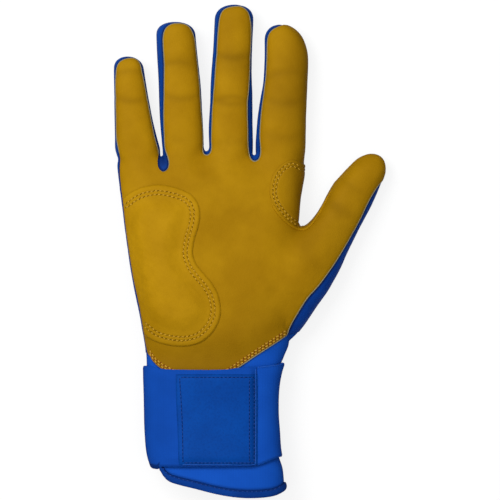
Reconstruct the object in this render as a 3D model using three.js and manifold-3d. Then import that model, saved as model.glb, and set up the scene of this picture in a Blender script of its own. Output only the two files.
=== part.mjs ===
// Right-hand batting glove, lying on its back with the palm up.
// Millimetres. Fingers point along +Y, the palm faces +Z, the thumb lies on the +X side.
import * as THREE from 'three';
import { mergeVertices } from 'three/addons/utils/BufferGeometryUtils.js';
import Module from 'manifold-3d';

const wasm = await Module();
wasm.setup();

// Hand and cuff
const palmLength = 113; // finger roots to wrist crease
const cuffLength = 82; // wrist crease to the lowest point of the hem
const palmDepth = 29; // back to palm at the heel of the hand
const wallThickness = 1.2; // leather and backing sewn as one wall
const seamGap = 0.3; // between neighbouring pieces
const backSeamHeight = 5.5; // fingers, palm: where the side walls meet the back
const ulnarShow = 0.8; // side wall seen along the ulnar edge of the palm
const flatDepth = 0.5; // how far the back is pressed flat where it lies
const cuffLift = 1.5; // cuff lining above the table, room for the strap below it
const overrun = 40; // how far a cutting shape runs past what it cuts

// Fingers: how far each tip lies past the root line, and its width at the root and at the tip
const littleLength = 51.6;
const ringLength = 71.2;
const middleLength = 80.8;
const indexLength = 69.6;
const littleRootWidth = 24.4;
const ringRootWidth = 22.4;
const middleRootWidth = 24.9;
const indexRootWidth = 27.1;
const littleTipWidth = 12;
const ringTipWidth = 19.9;
const middleTipWidth = 19.3;
const indexTipWidth = 22.9;
const fingerRootDepth = 19; // back to palm at the root of the middle finger
const fingerTipDepth = 15;
const fingerCap = 8; // length over which a fingertip rounds off
const sideShow = 3.4; // side wall seen beside the leather where it is widest, on the ring finger
const leftCapShares = [0.75, 0.875, 0.875, 1]; // of fingerCap, from the little finger to the index finger
const rightCapShares = [0.875, 1, 1, 2];
const leanShares = [-0.12, -0.049, 0.017, 0.05]; // sideways travel of the tip, of the finger's length
const leftWallShares = [0.2, 1, 0.68, 0.56]; // of sideShow
const rightWallShares = [0.24, 0.24, 0.5, -1.76]; // below zero the leather wraps round the side
const tipWallShares = [0.2, 0.3, 0.3, 0.3];
const rootDepthShares = [0.895, 0.974, 1, 1];
const tipDepthShares = [0.867, 1, 1, 1.033];

// Crotches between the fingers
const crotchGap = 4; // clear width at the root line that the gaps are shares of
const crotchDepth = 11; // the leather's deepest notch below the root line
const notchRadius = 3;
const crotchGapShares = [0.25, 0.975, 0.5];
const webDropShares = [0.036, -0.009, 0.155]; // where each web ends below the root line, of crotchDepth
const notchDropShares = [1, 0.191, 0.618];
const notchRadiusShares = [0.833, 1, 1];
const webDepth = 14; // thickness of the glove at a crotch
const fingerBury = 22; // how far a finger's form runs on into the palm
const flarePower = 0.8; // below 1 the finger widens faster near its root
const buriedShare = 0.6; // a finger's form narrows to this share inside the palm
const buriedStartShare = 0.4; // and starts to narrow here

// Thumb
const thumbLength = 118; // tip to the base of the thumb's mound
const thumbWidth = 23.5;
const thumbAngle = THREE.MathUtils.degToRad(30.3); // from the fingers' direction
const thumbTipAcross = 146.4; // tip centre from the ulnar edge of the finger roots
const thumbTipDrop = 2.4; // tip centre below the finger root line
const thumbCap = 9;
const thumbTipShow = 1; // side wall seen beyond the leather at the tip
const thumbCrotchDrop = 50; // end of the web between index finger and thumb, below the root line
const thumbBackLength = 62; // tip to the seam of the thumb's back
const thumbLeatherWrap = -6; // the leather runs round the thumb's inner side

// Overlays on the palm
const patchThickness = 1;
const heelPatchWidth = 52.6;
const heelPatchLength = 90;
const heelPatchAcross = 6.3; // its ulnar end from the ulnar edge of the finger roots
const heelPatchDrop = 20; // its top below the finger root line
const heelPadHeight = 2.2;
const heelPadSlope = 12; // from the patch's edge to the full pad
const heelEdgeMargin = 2.2; // the patch stays this far inside the palm's ulnar edge
const indexPatchWidth = 17.5;
const indexPatchLength = 38.5;
const indexPatchAcross = 85.2;
const indexPatchDrop = 6.2;
const pipingRadius = 0.8;

// Strap
const strapThickness = 1.5;
const hookThickness = 0.8;
const loopThickness = 0.8;
const tabThickness = 0.8;
const strapTopDrop = 11.2; // top edge below the wrist crease, at mid width
const strapHeight = 54;
const strapEndAcross = 78.8; // free end from the ulnar edge of the finger roots
const strapLiftStart = 5; // from the ulnar edge to where the strap starts to climb on to the fastener
const strapLiftRun = 15; // length over which it climbs
const hingeHeight = 14; // where the free part begins at the ulnar edge
const tabWidth = 42.5;
const tabHeight = 48.5;
const tabTopDrop = 3;
const hookMargin = 4; // hook and loop patches lie this far inside the tab

// Hem and slit of the cuff
const hemHeight = 4.5;
const hemThickness = 1;
const slitAcross = 25.2; // ulnar end of the cuff's front, below the slit's top
const slitTopDrop = 17; // below the wrist crease
const wristElasticLength = 11;
const knuckleFlexLength = 10;
const knuckleFlexDrop = 13; // its top below the finger root line

// Colours of the finishes
const blueLeather = { color: 0x0f4aa6, roughness: 0.55, metalness: 0 };
const deepBlue = { color: 0x0b3a86, roughness: 0.7, metalness: 0 };
const goldLeather = { color: 0xa87c0a, roughness: 0.5, metalness: 0 };
const paleFoam = { color: 0xcfc9b4, roughness: 0.9, metalness: 0 };

// Section resolution
const bodySides = 26;
const fingerSides = 14;
const thumbSides = 14;
const webSides = 8;
const discSides = 12;
const pipingSides = 6;
const pipingSteps = 10;
const patchGrid = 6;
const tabColumns = 8;
const tabRows = 5;
const bodyPower = 2.5;
const fingerPower = 2.3;
const capPower = 2.3;
const lastCapShare = 0.985;
const tipDepthShare = 0.6; // how far a tip's depth follows the rounding of its outline

// Body sections: share of the length down from its top, ulnar and thumb side drawn in as
// shares of the hand's width, depth as a share of the palm's depth
const palmShares = [
  [0.02, 0.02, 0.02, 0.5],
  [0.08, 0.008, 0.001, 0.64],
  [0.16, 0.017, 0.004, 0.74],
  [0.25, 0.028, 0.012, 0.82],
  [0.4, 0.055, 0.034, 0.91],
  [0.55, 0.07, 0.05, 0.97],
  [0.7, 0.102, 0.068, 1],
  [0.85, 0.135, 0.085, 1],
  [1, 0.156, 0.095, 0.97],
];
const cuffShares = [
  [0.06, 0.159, 0.112, 0.95],
  [0.12, 0.161, 0.136, 0.94],
  [0.2, 0.163, 0.152, 0.93],
  [0.4, 0.167, 0.153, 0.94],
  [0.6, 0.178, 0.142, 0.98],
  [0.72, 0.195, 0.122, 1.02],
  [0.8, 0.205, 0.113, 1.05],
  [0.92, 0.22, 0.1, 1.09],
  [1.04, 0.235, 0.09, 1.12],
];
// Thumb sections from the tip: share of its length, inner and outer half width as shares of
// its width, depth as a share of the palm's depth
const thumbShares = [
  [0, 0.4, 0.47, 0.5],
  [0.1, 0.42, 0.49, 0.54],
  [0.24, 0.52, 0.49, 0.62],
  [0.4, 0.5, 0.52, 0.68],
  [0.5, 0.66, 0.57, 0.74],
  [0.6, 0.95, 0.61, 0.81],
  [0.75, 1.3, 0.6, 0.88],
  [0.9, 1.4, 0.53, 0.86],
  [1, 1.2, 0.34, 0.6],
];
// Where each loft has its sections along a finger, as shares of its free length and of its cap
const fingerStationShares = [0, 0.25, 0.55];
const capStationShares = [0, 0.45, 0.75, 0.92, lastCapShare];
// Leather's lower edge: across the hand's width, and drop below the wrist crease over the cuff length
const lowerEdgeShares = [
  [0.17, 0.008], [0.172, 0.041], [0.197, 0.076], [0.234, 0.118], [0.255, 0.13], [0.45, 0.158],
  [0.62, 0.13], [0.658, 0.102], [0.727, 0.041], [0.801, -0.007], [0.87, -0.068], [0.907, -0.09],
];
const cuffTopShares = { ulnarDrop: 0.01, thumbRise: 0.1 };
// Hem line seen from the palm, in the same shares
const hemShares = [
  [0.12, 0.66], [0.235, 0.8], [0.262, 0.845], [0.3, 0.883], [0.358, 0.915], [0.525, 0.965],
  [0.64, 0.987], [0.75, 1], [0.84, 0.99], [0.89, 0.972], [0.912, 0.94],
];
// Outline of the heel patch inside the palm, as shares of its width and length
const heelPatchShares = [
  [0, 0.09], [0.12, 0.03], [0.255, 0.003], [0.394, 0], [0.553, 0.025], [0.713, 0.09], [0.777, 0.187],
  [0.745, 0.286], [0.713, 0.398], [0.717, 0.464], [0.84, 0.551], [0.957, 0.654], [1, 0.781],
  [0.974, 0.869], [0.862, 0.94], [0.713, 0.99], [0.553, 1], [0.394, 0.978], [0.24, 0.95],
];
// Where its edge along the ulnar side of the palm has corners, from the wrist up
const heelEdgeShares = [0.94, 0.7, 0.4, 0.12];
// Outline of the patch at the index finger's base, on its palm side
const indexPatchShares = [
  [1, 0.02], [0.72, 0], [0.45, 0.1], [0.22, 0.3], [0.05, 0.55], [0, 0.72], [0.22, 0.88], [0.46, 0.98],
  [0.7, 1.05], [0.9, 1.08],
];
// The piping follows this patch's outline from this share of its points on
const pipingStartShare = 0.55;
// Edge of the leather towards the thumb's outer side, as a share of the thumb's width
const thumbLeatherShares = [
  [0, 0.36], [0.08, 0.39], [0.2, 0.366], [0.35, 0.39], [0.5, 0.42], [0.64, 0.39], [0.78, 0.31],
  [0.89, 0.285], [0.95, 0.33], [1, 0.34],
];
// Edges of the strap: across the hand's width, and down from its top over its height
const strapTopShares = [
  [-0.5, -0.04], [0.147, -0.04], [0.26, 0], [0.66, 0], [0.748, -0.045], [0.84, -0.06], [0.93, -0.1],
  [1.2, -0.1],
];
const strapBottomShares = [
  [-0.5, 0.9], [0.17, 0.945], [0.2, 0.98], [0.24, 1], [0.5, 1], [0.748, 0.995], [0.76, 0.97],
  [0.885, 0.86], [1.2, 0.85],
];

const lerp = THREE.MathUtils.lerp;
const clamp = THREE.MathUtils.clamp;

// Fingers from the ulnar side, and the crotches between them
const fingers = [
  { name: 'little', length: littleLength, rootWidth: littleRootWidth, tipWidth: littleTipWidth },
  { name: 'ring', length: ringLength, rootWidth: ringRootWidth, tipWidth: ringTipWidth },
  { name: 'middle', length: middleLength, rootWidth: middleRootWidth, tipWidth: middleTipWidth },
  { name: 'index', length: indexLength, rootWidth: indexRootWidth, tipWidth: indexTipWidth },
].map((finger, order) => ({
  ...finger,
  lean: leanShares[order] * finger.length,
  leftCap: leftCapShares[order] * fingerCap,
  rightCap: rightCapShares[order] * fingerCap,
  leftShow: leftWallShares[order] * sideShow,
  rightShow: rightWallShares[order] * sideShow,
  tipShow: tipWallShares[order] * sideShow,
  rootDepth: rootDepthShares[order] * fingerRootDepth,
  tipDepth: tipDepthShares[order] * fingerTipDepth,
}));
const crotches = crotchGapShares.map((gapShare, order) => ({
  gap: gapShare * crotchGap,
  webDrop: webDropShares[order] * crotchDepth,
  leatherDrop: notchDropShares[order] * crotchDepth,
  notchRadius: notchRadiusShares[order] * notchRadius,
}));

// Places that follow from the sizes above
let reach = 0;
for (const [order, finger] of fingers.entries()) {
  finger.rootLeft = reach;
  reach += finger.rootWidth;
  finger.rootRight = reach;
  reach += crotches[order]?.gap ?? 0;
  finger.rootCentre = (finger.rootLeft + finger.rootRight) / 2;
  finger.tipCentre = finger.rootCentre + finger.lean;
}
const handWidth = reach;
const wristY = -palmLength;
const hemY = wristY - cuffLength;
const strapTopY = wristY - strapTopDrop;
const strapStack = loopThickness + hookThickness + 2 * seamGap;

function toSolid(geometry) {
  geometry.deleteAttribute('normal');
  geometry.deleteAttribute('uv');
  const merged = mergeVertices(geometry);
  return new wasm.Manifold(new wasm.Mesh({
    numProp: 3,
    vertProperties: new Float32Array(merged.attributes.position.array),
    triVerts: new Uint32Array(merged.index.array),
  }));
}

// Triangles between rings with as many points each, which follow each other
function sideFaces(rings) {
  const sides = rings[0].length;
  const faces = [];
  for (let row = 0; row + 1 < rings.length; row += 1) {
    for (let side = 0; side < sides; side += 1) {
      const here = row * sides + side;
      const beside = row * sides + (side + 1) % sides;
      faces.push(here, here + sides, beside, beside, here + sides, beside + sides);
    }
  }
  return faces;
}

function closedSolid(points, faces) {
  const geometry = new THREE.BufferGeometry().setFromPoints(points);
  geometry.setIndex(faces);
  return toSolid(geometry);
}

// Closed solid through rings of points; the rings follow each other along +Y or the thumb's length
function loft(rings) {
  const sides = rings[0].length;
  const points = rings.flat();
  const faces = sideFaces(rings);
  const caps = [[rings[0], 0, false], [rings.at(-1), (rings.length - 1) * sides, true]];
  for (const [ring, start, turned] of caps) {
    const centre = ring.reduce((sum, point) => sum.add(point), new THREE.Vector3()).divideScalar(sides);
    points.push(centre);
    for (let side = 0; side < sides; side += 1) {
      const pair = [start + side, start + (side + 1) % sides];
      faces.push(points.length - 1, ...(turned ? pair.reverse() : pair));
    }
  }
  return closedSolid(points, faces);
}

// One rounded section: half widths to the left and right of its centre, from low to high
function section(shape, sides, power) {
  const ring = [];
  const middle = (shape.low + shape.high) / 2;
  const halfDepth = (shape.high - shape.low) / 2;
  for (let side = 0; side < sides; side += 1) {
    const angle = 2 * Math.PI * side / sides;
    const across = Math.sign(Math.cos(angle)) * Math.abs(Math.cos(angle)) ** (2 / power);
    const up = Math.sign(Math.sin(angle)) * Math.abs(Math.sin(angle)) ** (2 / power);
    const x = shape.centre + across * (across > 0 ? shape.right : shape.left);
    const lift = up > 0 && shape.liftAt ? shape.liftAt(x) : 0;
    ring.push([x, middle + up * halfDepth + lift]);
  }
  return ring;
}

// Height of a section's upper side at a place across it
function topOf(shape, x, power) {
  const half = x > shape.centre ? shape.right : shape.left;
  const share = Math.abs(x - shape.centre) / half;
  if (share >= 1) return -Infinity;
  const halfDepth = (shape.high - shape.low) / 2;
  return (shape.low + shape.high) / 2 + halfDepth * (1 - share ** power) ** (1 / power);
}

function tableAt(rows, place) {
  let next = rows.findIndex((row) => row[0] >= place);
  if (next < 0) next = rows.length - 1;
  const before = rows[Math.max(next - 1, 0)];
  const after = rows[next];
  const span = after[0] - before[0];
  const share = span > 0 ? clamp((place - before[0]) / span, 0, 1) : 0;
  return before.map((value, column) => lerp(value, after[column], share));
}

// Roundness of a tip: 1 along the finger, closing over the cap
function roundness(past, cap, inset) {
  const share = clamp(past / (cap - inset), 0, lastCapShare);
  return (1 - share ** capPower) ** (1 / capPower);
}

const bodyRows = [
  ...cuffShares.map((row) => [wristY - row[0] * cuffLength, ...row.slice(1), cuffLift]).reverse(),
  ...palmShares.map((row) => [-row[0] * palmLength, ...row.slice(1), -flatDepth]).reverse(),
];

function bodyShape(y, inset) {
  const [, leftShare, rightShare, depthShare, low] = tableAt(bodyRows, y);
  const left = leftShare * handWidth;
  const right = handWidth * (1 - rightShare);
  return {
    centre: (left + right) / 2,
    left: (right - left) / 2 - inset,
    right: (right - left) / 2 - inset,
    low: low + inset,
    high: depthShare * palmDepth - flatDepth - inset,
  };
}

function bodySolid(inset, liftAt) {
  const ends = [bodyRows[0][0], bodyRows.at(-1)[0]];
  return loft(bodyRows.map(([y]) => {
    const shape = { ...bodyShape(y, inset), liftAt };
    const station = y === ends[1] ? y - inset : y;
    return section(shape, bodySides, bodyPower).map(([x, z]) => new THREE.Vector3(x, station, z));
  }));
}

function fingerShape(finger, y, inset) {
  const share = clamp(y / finger.length, 0, 1) ** flarePower;
  const centre = lerp(finger.rootCentre, finger.tipCentre, share);
  const buried = y < -fingerBury * buriedStartShare ? buriedShare : 1;
  const half = buried * lerp(finger.rootWidth, finger.tipWidth, share) / 2 - inset;
  const left = roundness(y - finger.length + finger.leftCap, finger.leftCap, inset);
  const right = roundness(y - finger.length + finger.rightCap, finger.rightCap, inset);
  const fullDepth = lerp(finger.rootDepth, finger.tipDepth, share);
  const depth = fullDepth * lerp(1, Math.max(left, right), tipDepthShare);
  const middle = fullDepth / 2 - flatDepth;
  return {
    centre,
    left: half * left,
    right: half * right,
    low: middle - depth / 2 + inset,
    high: middle + depth / 2 - inset,
    leftRound: left,
    rightRound: right,
  };
}

function fingerStations(finger, inset) {
  const cap = Math.max(finger.leftCap, finger.rightCap);
  const start = finger.length - cap;
  const end = finger.length - inset;
  return [
    -fingerBury, -fingerBury * buriedStartShare,
    ...fingerStationShares.map((share) => share * finger.length).filter((y) => y < start),
    ...capStationShares.map((share) => lerp(start, end, share / lastCapShare)),
  ];
}

function fingerSolid(finger, inset) {
  return loft(fingerStations(finger, inset).map((y) => {
    const ring = section(fingerShape(finger, y, inset), fingerSides, fingerPower);
    return ring.map(([x, z]) => new THREE.Vector3(x, y, z));
  }));
}

function webSolid(order, inset) {
  const left = fingers[order];
  const right = fingers[order + 1];
  const top = -crotches[order].webDrop - inset;
  const half = (right.rootCentre - left.rootCentre) / 2;
  const shape = {
    centre: left.rootCentre + half,
    left: half,
    right: half,
    low: inset - flatDepth,
    high: webDepth - flatDepth - inset,
  };
  const ring = section(shape, webSides, fingerPower);
  return loft([-fingerBury, top].map((y) => ring.map(([x, z]) => new THREE.Vector3(x, y, z))));
}

// The thumb's own frame: back from its tip, and across to its outer side
const thumbAlong = new THREE.Vector3(Math.sin(thumbAngle), Math.cos(thumbAngle), 0);
const thumbOut = new THREE.Vector3(Math.cos(thumbAngle), -Math.sin(thumbAngle), 0);
const thumbTip = new THREE.Vector3(thumbTipAcross, -thumbTipDrop, 0);

function thumbPoint(back, out, z) {
  const point = thumbTip.clone().addScaledVector(thumbAlong, -back).addScaledVector(thumbOut, out);
  return point.setZ(z);
}

function thumbShape(back, inset) {
  const [, innerShare, outerShare, depthShare] = tableAt(thumbShares, back / thumbLength);
  const round = roundness(thumbCap - back, thumbCap, inset);
  const depth = depthShare * palmDepth * lerp(1, round, tipDepthShare);
  const middle = depthShare * palmDepth / 2 - flatDepth;
  return {
    centre: 0,
    round,
    left: (innerShare * thumbWidth - inset) * round,
    right: (outerShare * thumbWidth - inset) * round,
    low: middle - depth / 2 + inset,
    high: middle + depth / 2 - inset,
  };
}

function thumbBacks(inset) {
  return [
    ...thumbShares.map(([share]) => share * thumbLength).filter((back) => back > thumbCap).reverse(),
    ...capStationShares.map((share) => lerp(thumbCap, inset, share / lastCapShare)),
  ];
}

function thumbSolid(inset) {
  return loft(thumbBacks(inset).map((back) => (
    section(thumbShape(back, inset), thumbSides, fingerPower).map(([out, z]) => thumbPoint(back, out, z))
  )));
}

const joined = (parts) => parts.reduce((whole, part) => whole.add(part));

// Thumb and fingers without the body of the hand
function limbForm(inset) {
  return joined([thumbSolid(inset), ...fingers.map((finger) => fingerSolid(finger, inset))]);
}

// The glove's outer form, drawn in by a distance (a negative one grows it)
function gloveForm(inset) {
  const webs = crotches.map((crotch, order) => webSolid(order, inset));
  return joined([bodySolid(inset), limbForm(inset), ...webs]);
}

// Height of the palm side over any place
function palmTop(x, y) {
  const heights = [-Infinity];
  if (y <= bodyRows.at(-1)[0]) heights.push(topOf(bodyShape(y, 0), x, bodyPower));
  for (const finger of fingers) {
    if (y > -fingerBury && y < finger.length) heights.push(topOf(fingerShape(finger, y, 0), x, fingerPower));
  }
  const from = new THREE.Vector3(x, y, 0).sub(thumbTip);
  const back = -from.dot(thumbAlong);
  if (back > 0 && back < thumbLength) {
    heights.push(topOf(thumbShape(back, 0), from.dot(thumbOut), fingerPower));
  }
  return Math.max(...heights);
}

// Upright cutting shape over an outline, between two heights
function prism(outline, low = -overrun, high = 2 * overrun) {
  const shape = new THREE.Shape(outline.map(([x, y]) => new THREE.Vector2(x, y)));
  const geometry = new THREE.ExtrudeGeometry(shape, { depth: high - low, bevelEnabled: false });
  geometry.translate(0, 0, low);
  return toSolid(geometry);
}

function block(xLow, xHigh, yLow, yHigh, low = -overrun, high = 2 * overrun) {
  return prism([[xLow, yLow], [xHigh, yLow], [xHigh, yHigh], [xLow, yHigh]], low, high);
}

// Sheet between two height functions over a rectangle
function slab(frame, lowAt, highAt, columns, rows) {
  const rings = [];
  for (let row = 0; row <= rows; row += 1) {
    const y = lerp(frame.yLow, frame.yHigh, row / rows);
    const xs = Array.from({ length: columns + 1 }, (_, column) => (
      lerp(frame.xLow, frame.xHigh, column / columns)
    ));
    const under = xs.map((x) => new THREE.Vector3(x, y, lowAt(x, y)));
    const over = xs.map((x) => new THREE.Vector3(x, y, highAt(x, y))).reverse();
    rings.push([...under, ...over]);
  }
  return sheetLoft(rings, columns + 1);
}

// Closed solid through flat rings whose first half runs below and second half above
function sheetLoft(rings, count) {
  const sides = rings[0].length;
  const faces = sideFaces(rings);
  const last = (rings.length - 1) * sides;
  for (let column = 0; column + 1 < count; column += 1) {
    const across = sides - 1 - column;
    faces.push(column, column + 1, across, column + 1, across - 1, across);
    faces.push(last + column + 1, last + column, last + across);
    faces.push(last + column + 1, last + across, last + across - 1);
  }
  return closedSolid(rings.flat(), faces);
}

// Whole forms and the wall between them
const layerBetween = (low, high) => block(-handWidth, 2 * handWidth, 2 * hemY, 2 * handWidth, low, high);
const tablePlate = layerBetween(0, 2 * overrun);
const outerForm = gloveForm(0);
const clearForm = gloveForm(-seamGap);
const clearLimbs = limbForm(-seamGap);
const cavity = gloveForm(wallThickness).add(mouth(wallThickness));
const wall = outerForm.subtract(cavity).intersect(tablePlate);
const aboveSeam = layerBetween(backSeamHeight + seamGap / 2, 2 * overrun);
const belowSeam = layerBetween(-overrun, backSeamHeight - seamGap / 2);

// The cavity runs on out of the end of the cuff
function mouth(inset) {
  const end = bodyRows[0][0];
  const ring = section(bodyShape(end, inset), bodySides, bodyPower);
  return loft([end - overrun, end].map((y) => ring.map(([x, z]) => new THREE.Vector3(x, y, z))));
}

const acrossHand = (share) => share * handWidth;
const downCuff = (share) => wristY - share * cuffLength;
const lowerEdge = lowerEdgeShares.map(([across, down]) => [acrossHand(across), downCuff(down)]);
const hemLine = hemShares.map(([across, down]) => [acrossHand(across), downCuff(down)]);
const farLeft = -overrun;
const farRight = handWidth + 2 * overrun;
const farUp = handWidth;
const raise = (line, up) => line.map(([x, y]) => [x, y + up]);

// Everything towards the fingers from the leather's lower edge, moved up by a distance
function palmSide(up) {
  return prism([
    [farLeft, downCuff(cuffTopShares.ulnarDrop) + up], ...raise(lowerEdge, up),
    [farRight, downCuff(-cuffTopShares.thumbRise) + up], [farRight, farUp], [farLeft, farUp],
  ]);
}

function cuffSide(down, endOff) {
  return prism([
    [farLeft, downCuff(cuffTopShares.ulnarDrop) - down], ...raise(lowerEdge, -down),
    [farRight, downCuff(-cuffTopShares.thumbRise) - down],
    ...raise([[farRight, hemLine.at(-1)[1]], ...[...hemLine].reverse(), [farLeft, hemLine[0][1]]], endOff),
  ]);
}

// Upright walls around the leather as it is seen from the palm; grow moves them outwards
function leatherForm(grow) {
  const tall = (edges) => (
    prism([...edges.map(([left]) => left), ...edges.map(([, right]) => right).reverse()])
  );
  const parts = fingers.map((finger) => tall(fingerStations(finger, finger.tipShow - grow).map((y) => {
    const shape = fingerShape(finger, y, finger.tipShow - grow);
    const left = shape.left - (finger.leftShow - finger.tipShow) * shape.leftRound;
    const right = shape.right - (finger.rightShow - finger.tipShow) * shape.rightRound;
    return [[shape.centre - left, y], [shape.centre + right, y]];
  })));
  for (const [order, crotch] of crotches.entries()) {
    const centre = fingers[order].rootRight + crotch.gap / 2;
    const top = crotch.notchRadius - crotch.leatherDrop;
    const half = fingers[order].rootWidth / 2;
    const web = block(centre - half, centre + half, -2 * fingerBury, top);
    parts.push(web.subtract(disc(centre, top, crotch.notchRadius - grow)));
  }
  const bodyEdges = bodyRows.filter(([y]) => y < -fingerBury / 2).map(([y]) => {
    const shape = bodyShape(y, 0);
    const wrap = y > -thumbCrotchDrop ? thumbLeatherWrap : -thumbLeatherWrap;
    return [[shape.centre - shape.left + ulnarShow - grow, y], [shape.centre + shape.right - wrap, y]];
  });
  parts.push(tall(bodyEdges));
  const thumbEdges = thumbBacks(thumbTipShow - grow).map((back) => {
    const shape = thumbShape(back, thumbTipShow - grow);
    const [, edgeShare] = tableAt(thumbLeatherShares, back / thumbLength);
    const outer = Math.min(edgeShare * thumbWidth + grow, shape.right);
    return [thumbPoint(back, thumbLeatherWrap * shape.round - shape.left, 0), thumbPoint(back, outer, 0)]
      .map((point) => [point.x, point.y]);
  });
  parts.push(tall(thumbEdges));
  return joined(parts);
}

function disc(x, y, radius) {
  const steps = Array.from({ length: discSides }, (_, step) => 2 * Math.PI * step / discSides);
  return prism(steps.map((angle) => [x + radius * Math.cos(angle), y + radius * Math.sin(angle)]));
}

// Distance from a place to an outline, positive inside it
function depthInside(outline, x, y) {
  let least = Infinity;
  let inside = false;
  for (const [order, [ax, ay]] of outline.entries()) {
    const [bx, by] = outline[(order + 1) % outline.length];
    const length = Math.hypot(bx - ax, by - ay);
    const along = clamp(((x - ax) * (bx - ax) + (y - ay) * (by - ay)) / length ** 2, 0, 1);
    least = Math.min(least, Math.hypot(x - lerp(ax, bx, along), y - lerp(ay, by, along)));
    if ((ay > y) !== (by > y) && x < lerp(ax, bx, (y - ay) / (by - ay))) inside = !inside;
  }
  return inside ? least : -least;
}

function smoothLine(points, steps) {
  const curve = new THREE.SplineCurve(points.map(([x, y]) => new THREE.Vector2(x, y)));
  return curve.getPoints(steps).map((point) => [point.x, point.y]);
}

const root = new THREE.Group();

// A piece is the largest body that its cuts leave
function addPiece(name, solid, finish) {
  const bodies = solid.decompose().sort((one, other) => other.volume() - one.volume());
  const mesh = bodies[0].getMesh();
  const geometry = new THREE.BufferGeometry();
  geometry.setAttribute('position', new THREE.BufferAttribute(mesh.vertProperties, mesh.numProp));
  geometry.setIndex(new THREE.BufferAttribute(mesh.triVerts, 1));
  const piece = new THREE.Mesh(geometry, new THREE.MeshStandardMaterial(finish));
  piece.name = name;
  root.add(piece);
}

// Palm leather with the fronts of the fingers and the thumb, all one piece
const upperWall = wall.intersect(aboveSeam);
addPiece('palm_leather', upperWall.intersect(leatherForm(0)).intersect(palmSide(0)), goldLeather);

// Side walls between palm leather and back
function centreLine(order, shift) {
  const finger = fingers[order];
  const slope = finger.lean / finger.length;
  return [
    [finger.rootCentre + shift, -fingerBury],
    [finger.rootCentre + shift, 0],
    [finger.tipCentre + slope * overrun + shift, finger.length + overrun],
  ];
}

function addSideWalls() {
  const half = seamGap / 2;
  const sides = upperWall.subtract(leatherForm(seamGap));
  const ulnarEnd = downCuff(cuffTopShares.ulnarDrop);
  const ulnar = [
    [farLeft, ulnarEnd], [slitAcross, ulnarEnd], [slitAcross, wristY / 2],
    ...centreLine(0, -half), [farLeft, farUp],
  ];
  addPiece('little_side_wall', sides.intersect(prism(ulnar)), blueLeather);
  for (const order of crotches.keys()) {
    const right = centreLine(order + 1, -half).reverse();
    const last = order === crotches.length - 1;
    const { length, name } = fingers[order + 1];
    const far = [
      [farRight, length + overrun], [farRight, length / 2], [right[1][0], length / 2], ...right.slice(1),
    ];
    const region = prism([...centreLine(order, half), ...(last ? far : right)]);
    addPiece(`${fingers[order].name}_${name}_fourchette`, sides.intersect(region), blueLeather);
  }
  const thumbEnd = downCuff(-cuffTopShares.thumbRise);
  const gusset = block(handWidth / 2, farRight, thumbEnd, fingers[0].rootWidth);
  addPiece('thumb_gusset', sides.intersect(gusset), blueLeather);
}
addSideWalls();

// Back of the hand: knuckle and wrist stretch panels between leather panels
function addBack() {
  const back = wall.intersect(belowSeam);
  const span = (low, high) => block(farLeft, farRight, low, high);
  const flexTop = -knuckleFlexDrop;
  const flexEnd = flexTop - knuckleFlexLength;
  const elasticTop = wristY + wristElasticLength;
  const thumbCut = (grow) => prism([
    thumbPoint(thumbBackLength + grow, -thumbWidth, 0), thumbPoint(thumbBackLength + grow, thumbWidth, 0),
    thumbPoint(-thumbCap, thumbWidth, 0), thumbPoint(-thumbCap, -thumbWidth, 0),
  ].map((point) => [point.x, point.y]));
  const thumbGap = thumbCut(seamGap);
  const between = crotches.map((crotch, order) => fingers[order].rootRight + crotch.gap / 2);
  const edges = [farLeft, ...between, farRight];
  for (const [order, finger] of fingers.entries()) {
    const [left, right] = [edges[order] + seamGap / 2, edges[order + 1] - seamGap / 2];
    const region = block(left, right, flexTop + seamGap, farUp);
    addPiece(`${finger.name}_back`, back.intersect(region).subtract(thumbGap), blueLeather);
  }
  addPiece('knuckle_flex_panel', back.intersect(span(flexEnd, flexTop)).subtract(thumbGap), deepBlue);
  addPiece('hand_back', back.intersect(span(elasticTop, flexEnd - seamGap)).subtract(thumbGap), blueLeather);
  addPiece('thumb_back', back.intersect(thumbCut(0)), blueLeather);
  addPiece('wrist_elastic', back.intersect(span(wristY, elasticTop - seamGap)), deepBlue);
  const cuffBack = span(2 * hemY, wristY - seamGap).intersect(cuffSide(-cuffLength, hemThickness + seamGap));
  addPiece('cuff_back', back.intersect(cuffBack), blueLeather);
}
addBack();

// The strap as it is seen from the palm, moved along the cuff by a distance
function strapPlan(up) {
  const line = (shares) => shares.map(([across, down]) => (
    [acrossHand(across), strapTopY - down * strapHeight + up]
  ));
  return prism([...line(strapTopShares), ...line(strapBottomShares).reverse()]);
}

// Front of the cuff, open along a slit under the strap, and its bound hem
const slit = block(farLeft, slitAcross, 2 * hemY, wristY - slitTopDrop, backSeamHeight);
const cuffWall = upperWall.intersect(cuffSide(seamGap, hemThickness + seamGap));
addPiece('cuff_front', cuffWall.subtract(slit), blueLeather);

function addHem() {
  const liningInset = wallThickness + seamGap + hemThickness;
  const outer = bodySolid(-seamGap - hemThickness);
  const inner = bodySolid(liningInset).add(mouth(liningInset));
  const strip = cuffSide(-cuffLength, 0).subtract(cuffSide(-cuffLength, hemHeight));
  const fold = bodySolid(-seamGap).subtract(bodySolid(wallThickness + seamGap))
    .intersect(cuffSide(-cuffLength, hemThickness));
  const underStrap = strapPlan(0).add(strapPlan(-seamGap));
  const hem = outer.subtract(inner).intersect(strip).subtract(fold).subtract(slit).subtract(underStrap);
  addPiece('cuff_hem', hem, blueLeather);
}
addHem();

// Patches sewn on the palm
const place = (shares, across, drop, width, length) => shares.map(([right, down]) => (
  [across + right * width, -drop - down * length]
));

function frameOf(outline) {
  const xs = outline.map(([x]) => x);
  const ys = outline.map(([, y]) => y);
  return { xLow: Math.min(...xs), xHigh: Math.max(...xs), yLow: Math.min(...ys), yHigh: Math.max(...ys) };
}

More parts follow.
